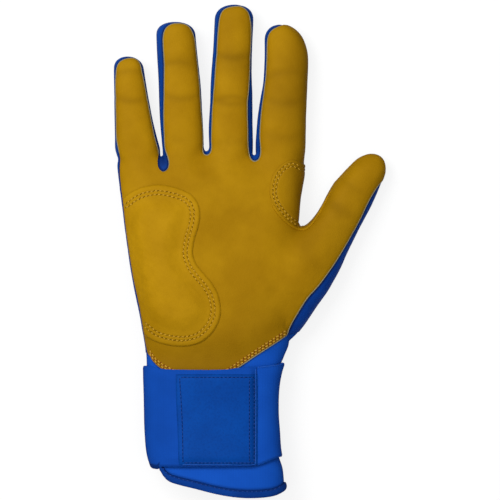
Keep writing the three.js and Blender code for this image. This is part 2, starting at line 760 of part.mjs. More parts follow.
function groundAt(x, y) {
  return Math.max(palmTop(x, y), backSeamHeight);
}

function addHeelPatch() {
  const corners = place(heelPatchShares, heelPatchAcross, heelPatchDrop, heelPatchWidth, heelPatchLength);
  const edge = heelEdgeShares.map((down) => {
    const y = -heelPatchDrop - down * heelPatchLength;
    const shape = bodyShape(y, 0);
    return [shape.centre - shape.left + heelEdgeMargin, y];
  });
  const outline = [...smoothLine(corners, 2 * corners.length), ...edge];
  const rise = (x, y) => (
    heelPadHeight * THREE.MathUtils.smoothstep(depthInside(outline, x, y), 0, heelPadSlope)
  );
  const rows = Math.round(heelPatchLength / patchGrid);
  const layer = (inset, liftAt) => loft(Array.from({ length: rows + 1 }, (_, row) => {
    const y = -heelPatchDrop - heelPatchLength + overrun / rows + (row - 1) * heelPatchLength / (rows - 2);
    const shape = { ...bodyShape(y, inset), liftAt: liftAt && ((x) => liftAt(x, y)) };
    return section(shape, 2 * bodySides, bodyPower).map(([x, z]) => new THREE.Vector3(x, y, z));
  }));
  const plan = prism(outline).intersect(aboveSeam);
  const patch = layer(-seamGap - patchThickness, rise).subtract(layer(-seamGap, rise));
  addPiece('heel_patch', patch.intersect(plan).subtract(clearLimbs), goldLeather);
  const pad = layer(0, rise).subtract(layer(-seamGap));
  addPiece('heel_pad', pad.intersect(plan).subtract(clearLimbs), paleFoam);
}
addHeelPatch();

function addIndexPatch() {
  const outline = smoothLine(
    place(indexPatchShares, indexPatchAcross, indexPatchDrop, indexPatchWidth, indexPatchLength),
    2 * indexPatchShares.length,
  );
  const frame = frameOf(outline);
  const low = (x, y) => groundAt(x, y) + seamGap;
  const high = (x, y) => low(x, y) + patchThickness;
  const steps = [Math.round(indexPatchWidth / patchGrid), Math.round(indexPatchLength / patchGrid)];
  const patch = slab(frame, low, high, ...steps).intersect(prism(outline)).subtract(clearForm);
  const seam = outline.slice(Math.round(outline.length * pipingStartShare));
  const route = new THREE.CatmullRomCurve3(seam.map(([x, y]) => (
    new THREE.Vector3(x, y, groundAt(x, y) + seamGap + pipingRadius)
  )));
  const cord = (radius) => toSolid(new THREE.ExtrudeGeometry(
    new THREE.Shape(new THREE.EllipseCurve(0, 0, radius, radius).getPoints(pipingSides).slice(1)),
    { steps: pipingSteps, extrudePath: route },
  ));
  addPiece('index_patch', patch.subtract(cord(pipingRadius + seamGap)), goldLeather);
  addPiece('crotch_piping', cord(pipingRadius).subtract(clearForm), goldLeather);
}
addIndexPatch();

// Wrist strap: fixed round the back and the thumb side, free over the palm side
function addStrap() {
  const plan = strapPlan(0);
  const wrist = bodyShape(strapTopY, 0);
  const start = wrist.centre - wrist.left + strapLiftStart;
  const liftAt = (x) => strapStack * THREE.MathUtils.smoothstep(x, start, start + strapLiftRun);
  const outside = seamGap + strapThickness;
  const layer = (lift) => bodySolid(-outside, lift).subtract(bodySolid(-seamGap, lift)).intersect(tablePlate);
  const above = block(farLeft, strapEndAcross, 2 * hemY, 0, hingeHeight + seamGap / 2);
  addPiece('strap_band', layer(liftAt).intersect(plan).intersect(above), blueLeather);
  const kept = block(farLeft, farRight, 2 * hemY, 0, -overrun, hingeHeight - seamGap / 2)
    .add(block(strapEndAcross + seamGap, farRight, 2 * hemY, 0));
  addPiece('strap_back', layer().intersect(plan).intersect(kept), blueLeather);

  const tabFrame = {
    xLow: strapEndAcross - tabWidth,
    xHigh: strapEndAcross,
    yLow: strapTopY - tabTopDrop - tabHeight,
    yHigh: strapTopY - tabTopDrop,
  };
  const inner = {
    xLow: tabFrame.xLow + hookMargin,
    xHigh: tabFrame.xHigh - hookMargin,
    yLow: tabFrame.yLow + hookMargin,
    yHigh: tabFrame.yHigh - hookMargin,
  };
  const bodyTop = (inset) => (x, y) => topOf(bodyShape(y, inset), x, bodyPower);
  const between = (frame, from, to, inset) => slab(
    frame,
    (x, y) => bodyTop(inset)(x, y) + from,
    (x, y) => bodyTop(inset)(x, y) + to,
    tabColumns,
    tabRows,
  );
  addPiece('loop_patch', between(inner, seamGap, seamGap + loopThickness, 0), deepBlue);
  const hookLow = 2 * seamGap + loopThickness;
  addPiece('hook_patch', between(inner, hookLow, hookLow + hookThickness, 0), deepBlue);
  const tabLow = strapStack + seamGap;
  addPiece('tab_panel', between(tabFrame, tabLow, tabLow + tabThickness, -outside), blueLeather);
}
addStrap();

// The origin is under the middle of the glove, on the surface that it lies on
const bounds = new THREE.Box3().setFromObject(root);
const middle = bounds.getCenter(new THREE.Vector3());
root.position.set(-middle.x, -middle.y, -bounds.min.z);
root.updateMatrixWorld(true);

export default root;
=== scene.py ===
import math

import bpy
import numpy as np
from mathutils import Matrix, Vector
from mathutils.bvhtree import BVHTree
from mathutils.kdtree import KDTree


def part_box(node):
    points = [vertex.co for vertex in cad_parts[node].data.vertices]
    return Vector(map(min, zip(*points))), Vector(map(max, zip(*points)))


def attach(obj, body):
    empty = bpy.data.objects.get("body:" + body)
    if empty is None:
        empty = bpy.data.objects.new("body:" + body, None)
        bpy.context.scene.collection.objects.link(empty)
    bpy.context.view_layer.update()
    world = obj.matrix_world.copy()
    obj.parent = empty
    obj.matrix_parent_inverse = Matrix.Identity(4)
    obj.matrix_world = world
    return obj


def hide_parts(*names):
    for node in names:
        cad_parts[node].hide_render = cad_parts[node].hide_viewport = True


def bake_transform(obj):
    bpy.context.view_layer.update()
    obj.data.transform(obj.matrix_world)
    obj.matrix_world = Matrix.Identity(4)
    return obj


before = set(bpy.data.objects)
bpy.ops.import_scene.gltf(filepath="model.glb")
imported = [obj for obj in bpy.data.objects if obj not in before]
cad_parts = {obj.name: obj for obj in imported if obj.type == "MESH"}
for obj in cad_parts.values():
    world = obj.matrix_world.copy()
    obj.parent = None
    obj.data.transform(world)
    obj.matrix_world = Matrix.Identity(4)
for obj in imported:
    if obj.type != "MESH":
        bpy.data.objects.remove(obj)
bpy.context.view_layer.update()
mm = 0.001
perPoint = 7  # numbers kept for each point of a surface: place, normal, painted shade

# Hand coordinates in mm: x from the little finger's root edge, y from the finger roots, z up from the table
hand = {
    "cuffEnd": 195.0,  # finger roots to the lowest point of the hem
    "seamHeight": 5.5,  # where the side walls meet the back
    "wrist": -113.0,
    "voxel": 0.8,  # pitch of the sewn form's surface
    "smoothing": 9,
    "grow": 0.25,  # what the smoothing takes off again
    "evenings": 160,  # passes that even out the palm between fingers and thumb
    "edgeFall": 1.3,  # how far the palm sinks towards its edges, and over what width
    "edgeWidth": 15.0,
    "steepShade": 0.4,  # painted shade on the steep sides: how much darker they are
}
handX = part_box("little_side_wall")[0].x / mm
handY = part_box("cuff_hem")[0].y / mm + hand["cuffEnd"]


def toFrame(points):  # hand mm to frame metres
    return (np.asarray(points, float)[:, :3] + (handX, handY, 0)) * mm


def smoothstep(value, low, high):
    share = np.clip((value - low) / (high - low), 0, 1)
    return share * share * (3 - 2 * share)


def bump(value, width):  # 1 at nothing, falling away over a width
    return np.exp(-((value / width) ** 2))


def fading(value, low, high):
    return 1 - smoothstep(value, low, high)


def hill(points, cx, cy, wide, long):  # 1 at a place on the palm, falling away over a half width each way
    return bump(points[:, 0] - cx, wide) * bump(points[:, 1] - cy, long)


def hermite(t, here, there, leaving, arriving):  # cubic between two values with their slopes
    return (
        (2 * t**3 - 3 * t**2 + 1) * here + (t**3 - 2 * t**2 + t) * leaving
        + (3 * t**2 - 2 * t**3) * there + (t**3 - t**2) * arriving
    )


def curveAt(rows, places):  # smooth curve through rows of (place, value, value...)
    rows = np.array(sorted(rows), float)
    at, values = rows[:, 0], rows[:, 1:]
    slopes = np.diff(values, axis=0) / np.diff(at)[:, None]
    tangents = np.vstack([slopes[:1], (slopes[1:] + slopes[:-1]) / 2, slopes[-1:]])
    tangents[1:-1][slopes[1:] * slopes[:-1] <= 0] = 0
    places = np.clip(np.asarray(places, float), at[0], at[-1])
    index = np.clip(np.searchsorted(at, places, side="right") - 1, 0, len(at) - 2)
    step = np.diff(at)[index][:, None]
    t = (places - at[index])[:, None] / step
    return hermite(t, values[index], values[index + 1], step * tangents[index], step * tangents[index + 1])


def evenly(line, step, closed=False):
    if closed:
        line = np.vstack([line, line[:1]])
    far = np.concatenate([[0], np.cumsum(np.linalg.norm(np.diff(line, axis=0), axis=1))])
    keep = np.concatenate([[True], np.diff(far) > 1e-9])
    line, far = line[keep], far[keep]
    places = np.linspace(0, far[-1], max(2, round(far[-1] / step)) + 1)
    made = np.stack([np.interp(places, far, column) for column in line.T], 1)
    return made[:-1] if closed else made


def smoothLine(points, step=0.6, closed=False):  # rounded line through points, in even steps
    points = np.array(points, float)
    count = len(points)
    ends = np.arange(-1, count + 2)
    ring = points[ends % count] if closed else points[np.clip(ends, 0, count - 1)]
    t = np.linspace(0, 1, 16, endpoint=False)[:, None]
    windows = zip(ring, ring[1:], ring[2:], ring[3 : None if closed else count + 2])
    made = [
        hermite(t, here, there, (there - before) / 2, (after - here) / 2)
        for before, here, there, after in windows
    ]
    return evenly(np.vstack(made + ([] if closed else [points[-1:]])), step, closed)


def inwardFrom(line):  # direction into a closed outline at each of its points
    ahead = np.roll(line, -1, axis=0) - np.roll(line, 1, axis=0)
    turning = (line[:, 0] * np.roll(line[:, 1], -1) - line[:, 1] * np.roll(line[:, 0], -1)).sum()
    left = np.stack([-ahead[:, 1], ahead[:, 0]], 1) / np.linalg.norm(ahead, axis=1)[:, None]
    return left * math.copysign(1, turning)


def treeFrom(spots):
    tree = KDTree(len(spots))
    for number, spot in enumerate(spots.tolist()):
        tree.insert(spot, number)
    tree.balance()
    return tree


def flat(points):  # seen from above
    return np.column_stack([points[:, :2], np.zeros(len(points))])


def insideBy(outline, points, reach=18.0):  # distance to an outline seen from above, positive inside it
    line = evenly(outline, 0.3, closed=True)
    inward = inwardFrom(line)
    tree = treeFrom(flat(line))
    xy = points[:, :2]
    result = np.full(len(points), -reach)
    near = np.flatnonzero(((xy > line.min(0) - reach) & (xy < line.max(0) + reach)).all(1))
    found = np.array([tree.find(place)[1:] for place in flat(points[near]).tolist()])
    nearest = found[:, 0].astype(int)
    beside = ((xy[near] - line[nearest]) * inward[nearest]).sum(1)
    result[near] = np.where(found[:, 1] > 1, np.copysign(found[:, 1], beside), beside)
    return result


def ripple(points, length, seed, count=14):  # soft uneven waves from -1 to 1, about length mm apart
    draw = np.random.default_rng(seed)
    total = np.zeros(len(points))
    for _ in range(count):
        way = draw.normal(size=3)
        way *= draw.uniform(0.7, 1.4) / length / np.linalg.norm(way)
        total += np.sin(2 * np.pi * (points[:, :3] @ way + draw.uniform()))
    return total / math.sqrt(count)


def loft(rings):  # closed form through rings of points, with as many points each
    rings = np.asarray(rings, float)
    rows, sides, _ = rings.shape
    points = np.vstack([rings.reshape(-1, 3), rings[0].mean(0), rings[-1].mean(0)])
    side = np.arange(sides)
    beside = (side + 1) % sides
    low = (np.arange(rows - 1) * sides)[:, None]
    walls = np.stack([low + side, low + beside, low + sides + beside, low + sides + side], 2)
    faces = walls.reshape(-1, 4).tolist()
    first, last, top = rows * sides, rows * sides + 1, (rows - 1) * sides
    for a, b in zip(side.tolist(), beside.tolist()):
        faces += [[first, b, a], [last, top + a, top + b]]
    return points, faces


def joined(parts):  # several forms as one
    points, faces, count = [], [], 0
    for some, more in parts:
        points.append(some)
        faces += [[count + corner for corner in face] for face in more]
        count += len(some)
    return np.vstack(points), faces


fingerPower = 2.3  # how square a finger is in section
sliceStep = 1.5  # between the rings of a loft


def roundSection(left, right, low, high, power=fingerPower, sides=72):  # rounded outline: x and z
    angle = np.linspace(0, 2 * np.pi, sides, endpoint=False)
    across = np.sign(np.cos(angle)) * np.abs(np.cos(angle)) ** (2 / power)
    up = np.sign(np.sin(angle)) * np.abs(np.sin(angle)) ** (2 / power)
    return (left + right) / 2 + across * (right - left) / 2, (low + high) / 2 + up * (high - low) / 2


def tipRound(past, cap):  # 1 along a finger, closing over its tip
    return (1 - np.clip(past / cap, 0, 0.992) ** fingerPower) ** (1 / fingerPower)


palm = {
    "power": 2.5,
    # y, left edge, right edge, depth
    "rows": [
        (-5, 1.6, 104.7, 18.2), (-9, 0.9, 105.4, 19.4), (-18, 1.9, 104.9, 21.6), (-28, 3.1, 103.4, 23.8),
        (-36, 4.2, 102.7, 25.2), (-45, 5.4, 101.8, 26.4), (-62, 7.7, 100.6, 28.1), (-79, 10.8, 98.6, 29),
        (-96, 14.2, 97, 29), (-108, 16.3, 97.2, 28.6), (-115, 17, 94.8, 28), (-122, 17.3, 92, 27.5),
        (-132, 17.5, 89.9, 27), (-146, 17.8, 89.3, 27.2), (-158, 18.2, 90, 28), (-171, 19.5, 91.2, 29.6),
        (-178, 21.6, 93.5, 30.4), (-185, 23.4, 94.3, 31.2), (-199, 26, 95.3, 32.2),
    ],
    "cuffRise": 1.5,  # the cuff's lining above the table
}
fingers = {
    # y, left edge, right edge; then tip height, the rounding of its left and right corner, root and tip depth
    "little": {"rows": [(-22, 6, 19), (-9, 3, 23.4), (-4, 1, 24.8), (0, -0.2, 24.6), (6, -0.4, 23.1),
                        (16, -0.6, 20.6), (30, -0.8, 18), (43, -1, 15.8), (52, -0.8, 14.6)],
               "tip": 51.9, "caps": (6, 7), "depths": (17, 13)},
    "ring": {"rows": [(-22, 30, 44), (-9, 27.6, 48), (-4, 26.8, 49.2), (0, 26.4, 49.4), (9, 25.5, 48.9),
                      (25, 24.5, 48.1), (41, 24, 46.9), (53, 23.3, 45.6), (62, 22.9, 44.7), (71, 22.7, 44.2)],
             "tip": 71.3, "caps": (7, 8), "depths": (18.5, 15)},
    "middle": {"rows": [(-22, 57, 72), (-9, 54, 75), (0, 52.3, 76.7), (9, 52.3, 76.5), (28, 53.1, 76.4),
                        (43, 53.8, 76), (57, 54.8, 76.3), (69, 55.4, 76.8), (81, 56, 77)],
               "tip": 80.9, "caps": (8, 8), "depths": (19, 15)},
    "index": {"rows": [(-22, 84, 101), (-9, 80, 104.6), (0, 78.5, 105.8), (9, 79, 105.9), (18, 79.7, 106),
                       (28, 81.2, 106.4), (37, 82.8, 106.8), (49, 83.5, 107.2), (55, 83.6, 106.7),
                       (60, 83.6, 105.2), (65, 83.7, 102.8), (70, 83.8, 100.2)],
              "tip": 69.6, "caps": (8, 8), "depths": (19, 15.5)},
}
webs = [(25.8, 11, -5), (51, 12, -2.9), (77.6, 12, -4.2)]  # between the fingers: centre, half width, top
thumb = {
    "tip": (146.4, -2.4), "angle": math.radians(30.3), "cap": 9, "end": 0.9, "closing": 1.8,
    # back from the tip, inner and outer half width, depth
    "rows": [
        (0, 5, 7.7, 14.5), (4.5, 6.3, 8.7, 14.9), (9, 7.9, 9.6, 15.3), (15, 9.6, 10.5, 16),
        (21.5, 11.1, 11.3, 16.9), (27.5, 12.3, 11.9, 17.8), (34, 12.3, 12.2, 18.5), (40, 11.9, 12.4, 19.1),
        (46, 12, 12.8, 19.7), (52, 12.9, 13.1, 20.5), (58, 15.5, 13.5, 21.4), (67, 21, 14.6, 23),
        (78, 28, 14.8, 24.7), (90, 32, 14, 25.3), (103, 32, 13.2, 24.8), (110, 30, 12.1, 22.5),
        (118, 26, 9.8, 17),
    ],
}
thumbAlong = np.array([math.sin(thumb["angle"]), math.cos(thumb["angle"])])
thumbOut = np.array([math.cos(thumb["angle"]), -math.sin(thumb["angle"])])
tipShares = np.sin(np.linspace(0, math.pi / 2, 16)) ** 0.9


def ringAt(y, x, z):
    return np.stack([x, np.full_like(x, y), z], 1)


def sunkBy(full, curl):  # lowest and highest point of a finger's section as it rounds off at the tip
    half = full * (0.4 + 0.6 * curl) / 2
    return full / 2 - 0.5 - half, full / 2 - 0.5 + half


def bodyLoft():
    places = np.arange(-199, -4.5, sliceStep)
    rings = []
    for y, (left, right, depth) in zip(places, curveAt(palm["rows"], places)):
        rise = palm["cuffRise"] * smoothstep(-y, 104, 122)
        rings.append(ringAt(y, *roundSection(left, right, rise - 0.5, depth, palm["power"], 120)))
    return loft(rings)


def fingerLoft(finger):
    tip, (leftCap, rightCap), (rootDepth, tipDepth) = finger["tip"], finger["caps"], finger["depths"]
    cap = max(leftCap, rightCap)
    places = np.concatenate([np.arange(-22, tip - cap, sliceStep), tip - cap + cap * tipShares])
    rings = []
    for y, (left, right) in zip(places, curveAt(finger["rows"], places)):
        middle = (left + right) / 2
        leftRound = tipRound(y - tip + leftCap, leftCap)
        rightRound = tipRound(y - tip + rightCap, rightCap)
        full = rootDepth + (tipDepth - rootDepth) * np.clip(y / tip, 0, 1)
        left, right = middle - (middle - left) * leftRound, middle + (right - middle) * rightRound
        rings.append(ringAt(y, *roundSection(left, right, *sunkBy(full, max(leftRound, rightRound)))))
    return loft(rings)


def webLoft(centre, half, top):
    sections = [(-22.0, 13.2), (top - 1, 13.2), (top, 10)]  # y and height
    return loft([ringAt(y, *roundSection(centre - half, centre + half, -0.5, high)) for y, high in sections])


def thumbLoft():
    cap, closing = thumb["cap"], thumb["closing"]
    end = cap + thumb["end"]
    places = np.concatenate([np.arange(118, end, -sliceStep), end - cap * tipShares])
    rings = []
    for back, (inner, outer, full) in zip(places, curveAt(thumb["rows"], places)):
        curl = tipRound(end - back, cap)
        aside = closing * (1 - curl)
        out, z = roundSection(aside - inner * curl, aside + outer * curl, *sunkBy(full, curl))
        rings.append(np.column_stack([thumb["tip"] - back * thumbAlong + out[:, None] * thumbOut, z]))
    return loft(rings)


def meshObject(name, points, faces):
    mesh = bpy.data.meshes.new(name)
    mesh.from_pydata(np.asarray(points).tolist(), [], faces if isinstance(faces, list) else faces.tolist())
    made = bpy.data.objects.new(name, mesh)
    bpy.context.scene.collection.objects.link(made)
    return made


def readOut(items, name, width=3, kind=np.float32):
    values = np.empty(len(items) * width, kind)
    items.foreach_get(name, values)
    return values.reshape(-1, width)


def sewnForm():  # the whole hand as one smooth surface, in hand mm: points with normals and painted shade, triangles
    lofts = [bodyLoft(), thumbLoft(), *map(fingerLoft, fingers.values()), *(webLoft(*web) for web in webs)]
    made = meshObject("form", *joined(lofts))
    remesh = made.modifiers.new("remesh", "REMESH")
    remesh.mode = "VOXEL"
    remesh.voxel_size = hand["voxel"]
    smooth = made.modifiers.new("smooth", "SMOOTH")
    smooth.factor = 0.5
    smooth.iterations = hand["smoothing"]
    mesh = made.evaluated_get(bpy.context.evaluated_depsgraph_get()).to_mesh()
    mesh.calc_loop_triangles()
    where = readOut(mesh.vertices, "co").astype(float)
    normals = readOut(mesh.vertex_normals, "vector").astype(float)
    triangles = readOut(mesh.loop_triangles, "vertices", kind=np.int32)
    bpy.data.objects.remove(made)
    where += normals * hand["grow"]
    where[:, 2] = np.maximum(where[:, 2], 0.0)
    return np.column_stack([where, normals, np.zeros(len(where))]), triangles


def compact(points, faces):
    used, numbers = np.unique(faces, return_inverse=True)
    return points[used], numbers.reshape(-1, 3)


def edgesOf(faces):
    return np.concatenate([faces[:, [0, 1]], faces[:, [1, 2]], faces[:, [2, 0]]])


def evened(points, faces, share, times):  # places evened out among neighbours, where the share is above zero
    edges = np.unique(np.sort(edgesOf(faces), axis=1), axis=0)
    edges = edges[share[edges].max(1) > 0]
    used, numbers = np.unique(edges, return_inverse=True)
    a, b = numbers.reshape(-1, 2).T
    total = len(used)
    count = np.bincount(a, minlength=total) + np.bincount(b, minlength=total)
    moved = points[used, :3].copy()
    for _ in range(times):
        for part in moved.T:
            around = np.bincount(a, part[b], total) + np.bincount(b, part[a], total)
            part += 0.6 * share[used] * (around / count - part)
    return used, moved


def normalsOf(points, faces):
    a, b, c = (points[corner, :3] for corner in faces.T)
    facing = np.cross(b - a, c - a)
    summed = [np.bincount(faces.ravel(), np.repeat(part, 3), len(points)) for part in facing.T]
    return np.stack(summed, 1) / np.maximum(np.linalg.norm(summed, axis=0), 1e-12)[:, None]


def clip(mesh, values):  # the part of a surface where the values are above zero
    points, faces = mesh
    inside = values >= 0
    count = inside[faces].sum(1)
    cut = faces[(count == 1) | (count == 2)]
    lone = inside[cut] == (inside[cut].sum(1) == 1)[:, None]
    turn = (lone.argmax(1)[:, None] + np.arange(3)) % 3
    a, b, c = cut[np.arange(len(cut))[:, None], turn].T
    edges = np.sort(np.concatenate([np.stack([a, b], 1), np.stack([a, c], 1)]), axis=1)
    unique, where = np.unique(edges, axis=0, return_inverse=True)
    first, second = values[unique].T
    share = first / (first - second)
    made = points[unique[:, 0]] * (1 - share[:, None]) + points[unique[:, 1]] * share[:, None]
    numbers = len(points) + np.arange(len(unique))
    numbers = np.where(share < 0.12, unique[:, 0], np.where(share > 0.88, unique[:, 1], numbers))
    ab, ac = numbers[where.reshape(2, -1)]
    alone = inside[a]
    faces = np.vstack([
        faces[count == 3],
        np.stack([a, ab, ac], 1)[alone],
        np.stack([ab, b, c], 1)[~alone],
        np.stack([ab, c, ac], 1)[~alone],
    ])
    whole = (faces[:, 0] != faces[:, 1]) & (faces[:, 1] != faces[:, 2]) & (faces[:, 0] != faces[:, 2])
    return compact(np.vstack([points, made]), faces[whole])


def finer(mesh):  # each triangle in four
    points, faces = mesh
    unique, where = np.unique(np.sort(edgesOf(faces), axis=1), axis=0, return_inverse=True)
    ab, bc, ca = (where.reshape(-1) + len(points)).reshape(3, -1)
    a, b, c = faces.T
    parts = [(a, ab, ca), (ab, b, bc), (ca, bc, c), (ab, bc, ca)]
    return np.vstack([points, points[unique].mean(1)]), np.vstack([np.stack(part, 1) for part in parts])


def openEdges(faces):  # edges with one face, in that face's direction
    edges = edgesOf(faces)
    _, first, counts = np.unique(np.sort(edges, axis=1), axis=0, return_index=True, return_counts=True)
    return edges[first[counts == 1]]


def rimLines(faces):  # the open edges as lines of point numbers
    following = dict(openEdges(faces).tolist())
    lines = []
    while following:
        here = next(iter(following))
        line = []
        while here in following:
            line.append(here)
            here = following.pop(here)
        lines.append(np.array(line))
    return lines


def addPiece(name, points, faces, finishes, slot, kinds=None, paintedShade=None, body="root", sharp=45):
    made = meshObject(name, toFrame(points), faces)
    for finish in finishes:
        made.data.materials.append(finish)
    if kinds is not None:
        made.data.polygons.foreach_set("material_index", np.asarray(kinds, np.int32))
    if paintedShade is not None:
        # this attribute holds painted shade: darker colour in creases, on steep sides and along seams and
        # edges
        made.data.attributes.new("paintedShade", "FLOAT", "POINT").data.foreach_set("value", np.float32(paintedShade))
    made.data.polygons.foreach_set("use_smooth", np.ones(len(made.data.polygons), bool))
    made.data.set_sharp_from_angle(angle=math.radians(sharp))
    if body:
        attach(made, body)
    return made


def addSewn(name, mesh, outer, inner, finishes, slot, **more):  # closed panel: outside, cut edge and inside
    points, faces = mesh
    where, normals = points[:, :3], points[:, 3:6]
    above = where + normals * np.broadcast_to(outer, len(points))[:, None]
    below = where + normals * np.broadcast_to(inner, len(points))[:, None]
    above[:, 2] = np.maximum(above[:, 2], 0.0)
    below[:, 2] = np.maximum(below[:, 2], 0.15)
    rim = openEdges(faces)
    shift = len(points)
    sides = np.vstack([
        np.stack([rim[:, 1], rim[:, 0], rim[:, 0] + shift], 1),
        np.stack([rim[:, 1], rim[:, 0] + shift, rim[:, 1] + shift], 1),
    ])
    kinds = np.repeat([0, 2, 1], [len(faces), len(faces), len(sides)])
    every = np.vstack([faces, faces[:, ::-1] + shift, sides])
    paintedShade = np.tile(points[:, 6], 2)
    return addPiece(name, np.vstack([above, below]), every, finishes, slot, kinds, paintedShade, **more)


def linear(code):  # sRGB hex to linear colour
    shares = [int(code[i : i + 2], 16) / 255 for i in (1, 3, 5)]
    return [s / 12.92 if s <= 0.04045 else ((s + 0.055) / 1.055) ** 2.4 for s in shares] + [1]


def perMetre(width):  # pattern scale that gives patches of a width in mm
    return 1 / (width * mm)


def bandsPerMetre(pitch):  # wave scale that gives bands a pitch apart in mm
    return math.pi / 10 * perMetre(pitch)


def addNode(tree, kind, inputs, output=0, **settings):
    made = tree.nodes.new("ShaderNode" + kind)
    for name, value in settings.items():
        setattr(made, name, value)
    for name, value in inputs.items():
        if isinstance(value, bpy.types.NodeSocket):
            tree.links.new(value, made.inputs[name])
        else:
            made.inputs[name].default_value = value
    return made.outputs[output] if made.outputs else None


def startFinish(name):  # an empty material, and the place on the piece for its patterns
    made = bpy.data.materials.new(name)
    made.use_nodes = True
    made.node_tree.nodes.clear()
    return made, made.node_tree, addNode(made.node_tree, "TexCoord", {}, "Object")


def makeFinish(name, base, light, recipe):  # patterns spread the tints and raise the relief
    made, tree, place = startFinish(name)
    # the attribute read here is painted shade
    shares = {"paintedShadeShare": addNode(tree, "Attribute", {}, "Fac", attribute_name="paintedShade")}
    for pattern, (kind, width, inputs, *settings) in recipe["patterns"].items():
        scale = bandsPerMetre(width) if kind == "TexWave" else perMetre(width)
        shares[pattern] = addNode(tree, kind, {"Vector": place, "Scale": scale, **inputs}, **dict(*settings))
    if "rows" in shares:
        shares["loops"] = addNode(tree, "Math", {0: shares["ribs"], 1: shares["rows"]}, operation="MULTIPLY")
    colour = linear(base)
    for pattern, limits, tint in [(*recipe["light"], light), *recipe.get("tints", [])]:
        share = shares[pattern]
        if limits:
            ends = zip(("From Min", "From Max", "To Min", "To Max"), limits)
            share = addNode(tree, "MapRange", {"Value": share, **dict(ends)})
        colour = addNode(tree, "Mix", {0: share, 6: colour, 7: linear(tint)}, 2, data_type="RGBA")
    surface = {"Base Color": colour, "Roughness": recipe["roughness"],
               "Specular IOR Level": recipe["specular"], "Sheen Weight": recipe.get("sheen", 0.0)}
    if "gloss" in recipe:
        pattern, low, high = recipe["gloss"]
        gloss = {"Value": shares[pattern], "To Min": low, "To Max": high}
        surface["Roughness"] = addNode(tree, "MapRange", gloss)
    form = {}
    for pattern, depth in recipe.get("reliefs", {}).items():  # a negative depth raises the dark
        raised = {"Height": shares[pattern], "Distance": abs(depth) * mm, **form}
        form = {"Normal": addNode(tree, "Bump", raised, invert=depth < 0)}
    addNode(tree, "OutputMaterial", {"Surface": addNode(tree, "BsdfPrincipled", {**surface, **form})})
    return made


# A recipe: patterns with widths in mm, what spreads the light tint and others, relief in mm and gloss
# Sheepskin, drum dyed and lightly glazed: deep even gold, soft satin, fine pebbled grain with pores
goldSkin = {
    "patterns": {
        "cloud": ("TexNoise", 24, {"Detail": 2.0}),
        "mottle": ("TexNoise", 5, {"Detail": 4.0, "Roughness": 0.6}),
        "wave": ("TexNoise", 6, {"Detail": 2.0}),
        "pebbles": ("TexVoronoi", 0.8, {"Smoothness": 0.7}, {"feature": "SMOOTH_F1"}),
        "pores": ("TexNoise", 0.45, {"Detail": 3.0}),
    },
    "light": ("cloud", (0.38, 0.64, 0, 1)),
    # the last tint is a painted shade colour, laid where the piece carries painted shade
    "tints": [("mottle", (0.4, 0.75, 0, 0.15), "#8f6805"), ("paintedShadeShare", None, "#6b4a02")],
    "reliefs": {"wave": 0.22, "pebbles": 0.05, "pores": 0.05},
    "gloss": ("mottle", 0.54, 0.68), "roughness": 0.6, "specular": 0.045,
}
# Flesh side of the same skin where it was pared: pale grey, dry and fibrous
paredSkin = {
    "patterns": {"fibres": ("TexNoise", 0.5, {"Detail": 4.0, "Roughness": 0.7})},
    "light": ("fibres", None), "reliefs": {"fibres": 0.1}, "roughness": 0.9, "specular": 0.1,
}
# Synthetic leather, calendered PU on knit: even colour, tight regular grain, low gloss
blueSkin = {
    "patterns": {
        "cloud": ("TexNoise", 14, {"Detail": 3.0}),
        "fleck": ("TexNoise", 1.2, {"Detail": 3.0}),
        "wave": ("TexNoise", 7, {}),
        "pebbles": ("TexVoronoi", 0.6, {"Smoothness": 0.6}, {"feature": "SMOOTH_F1"}),
    },
    "light": ("cloud", (0.35, 0.7, 0, 1)),
    # the last tint is a painted shade colour, laid where the piece carries painted shade
    "tints": [("fleck", (0.45, 0.75, 0, 0.2), "#03184c"), ("paintedShadeShare", None, "#03184c")],
    "reliefs": {"wave": 0.2, "pebbles": 0.05}, "roughness": 0.62, "specular": 0.07,
}


# Warp-knit polyamide and elastane: fine ribs, matt; drawn coarser than it is, to show
def knit(rib, across="X", relief=0.1, shade=0.22):
    course = "Y" if across == "X" else "X"
    return {
        "patterns": {
            "ribs": ("TexWave", rib, {"Distortion": 0.6, "Detail": 1.0}, {"bands_direction": across}),
            "rows": ("TexWave", 0.6 * rib, {"Distortion": 0.8}, {"bands_direction": course}),
            "cloud": ("TexNoise", 16, {"Detail": 3.0}),
        },
        "light": ("cloud", (0.35, 0.7, 0, 1)),
        # the last tint is a painted shade colour, laid where the piece carries painted shade
        "tints": [("loops", (0, 1, shade, 0), "#06296a"), ("paintedShadeShare", None, "#02123c")],
        "reliefs": {"loops": relief}, "roughness": 0.8, "specular": 0.06,
    }


# Brushed tricot lining: dark, soft, without gloss
tricot = {
    "patterns": {"nap": ("TexNoise", 0.9, {"Detail": 4.0, "Roughness": 0.7})},
    "light": ("nap", None), "reliefs": {"nap": 0.15}, "roughness": 0.95, "specular": 0.1, "sheen": 0.3,
}
# Needle holes: dark discs of painted shade where the thread goes in, no gloss
holeShade = {
    "patterns": {"pulled": ("TexNoise", 0.4, {"Detail": 2.0})},
    "light": ("pulled", None), "roughness": 0.95, "specular": 0.05,
}
# Polyurethane foam, cut from a sheet: pale open cells
openCells = {
    "patterns": {"cells": ("TexVoronoi", 0.9, {})},
    "light": ("cells", None), "reliefs": {"cells": 0.25}, "roughness": 0.95, "specular": 0.1,
}


# Bonded nylon thread, twisted: small bright ridges with a soft gloss
def thread(twist=0.35):
    return {
        "patterns": {"strands": ("TexWave", twist, {"Distortion": 1.0}, {"bands_direction": "DIAGONAL"})},
        "light": ("strands", None), "reliefs": {"strands": 0.06}, "roughness": 0.5, "specular": 0.25,
    }


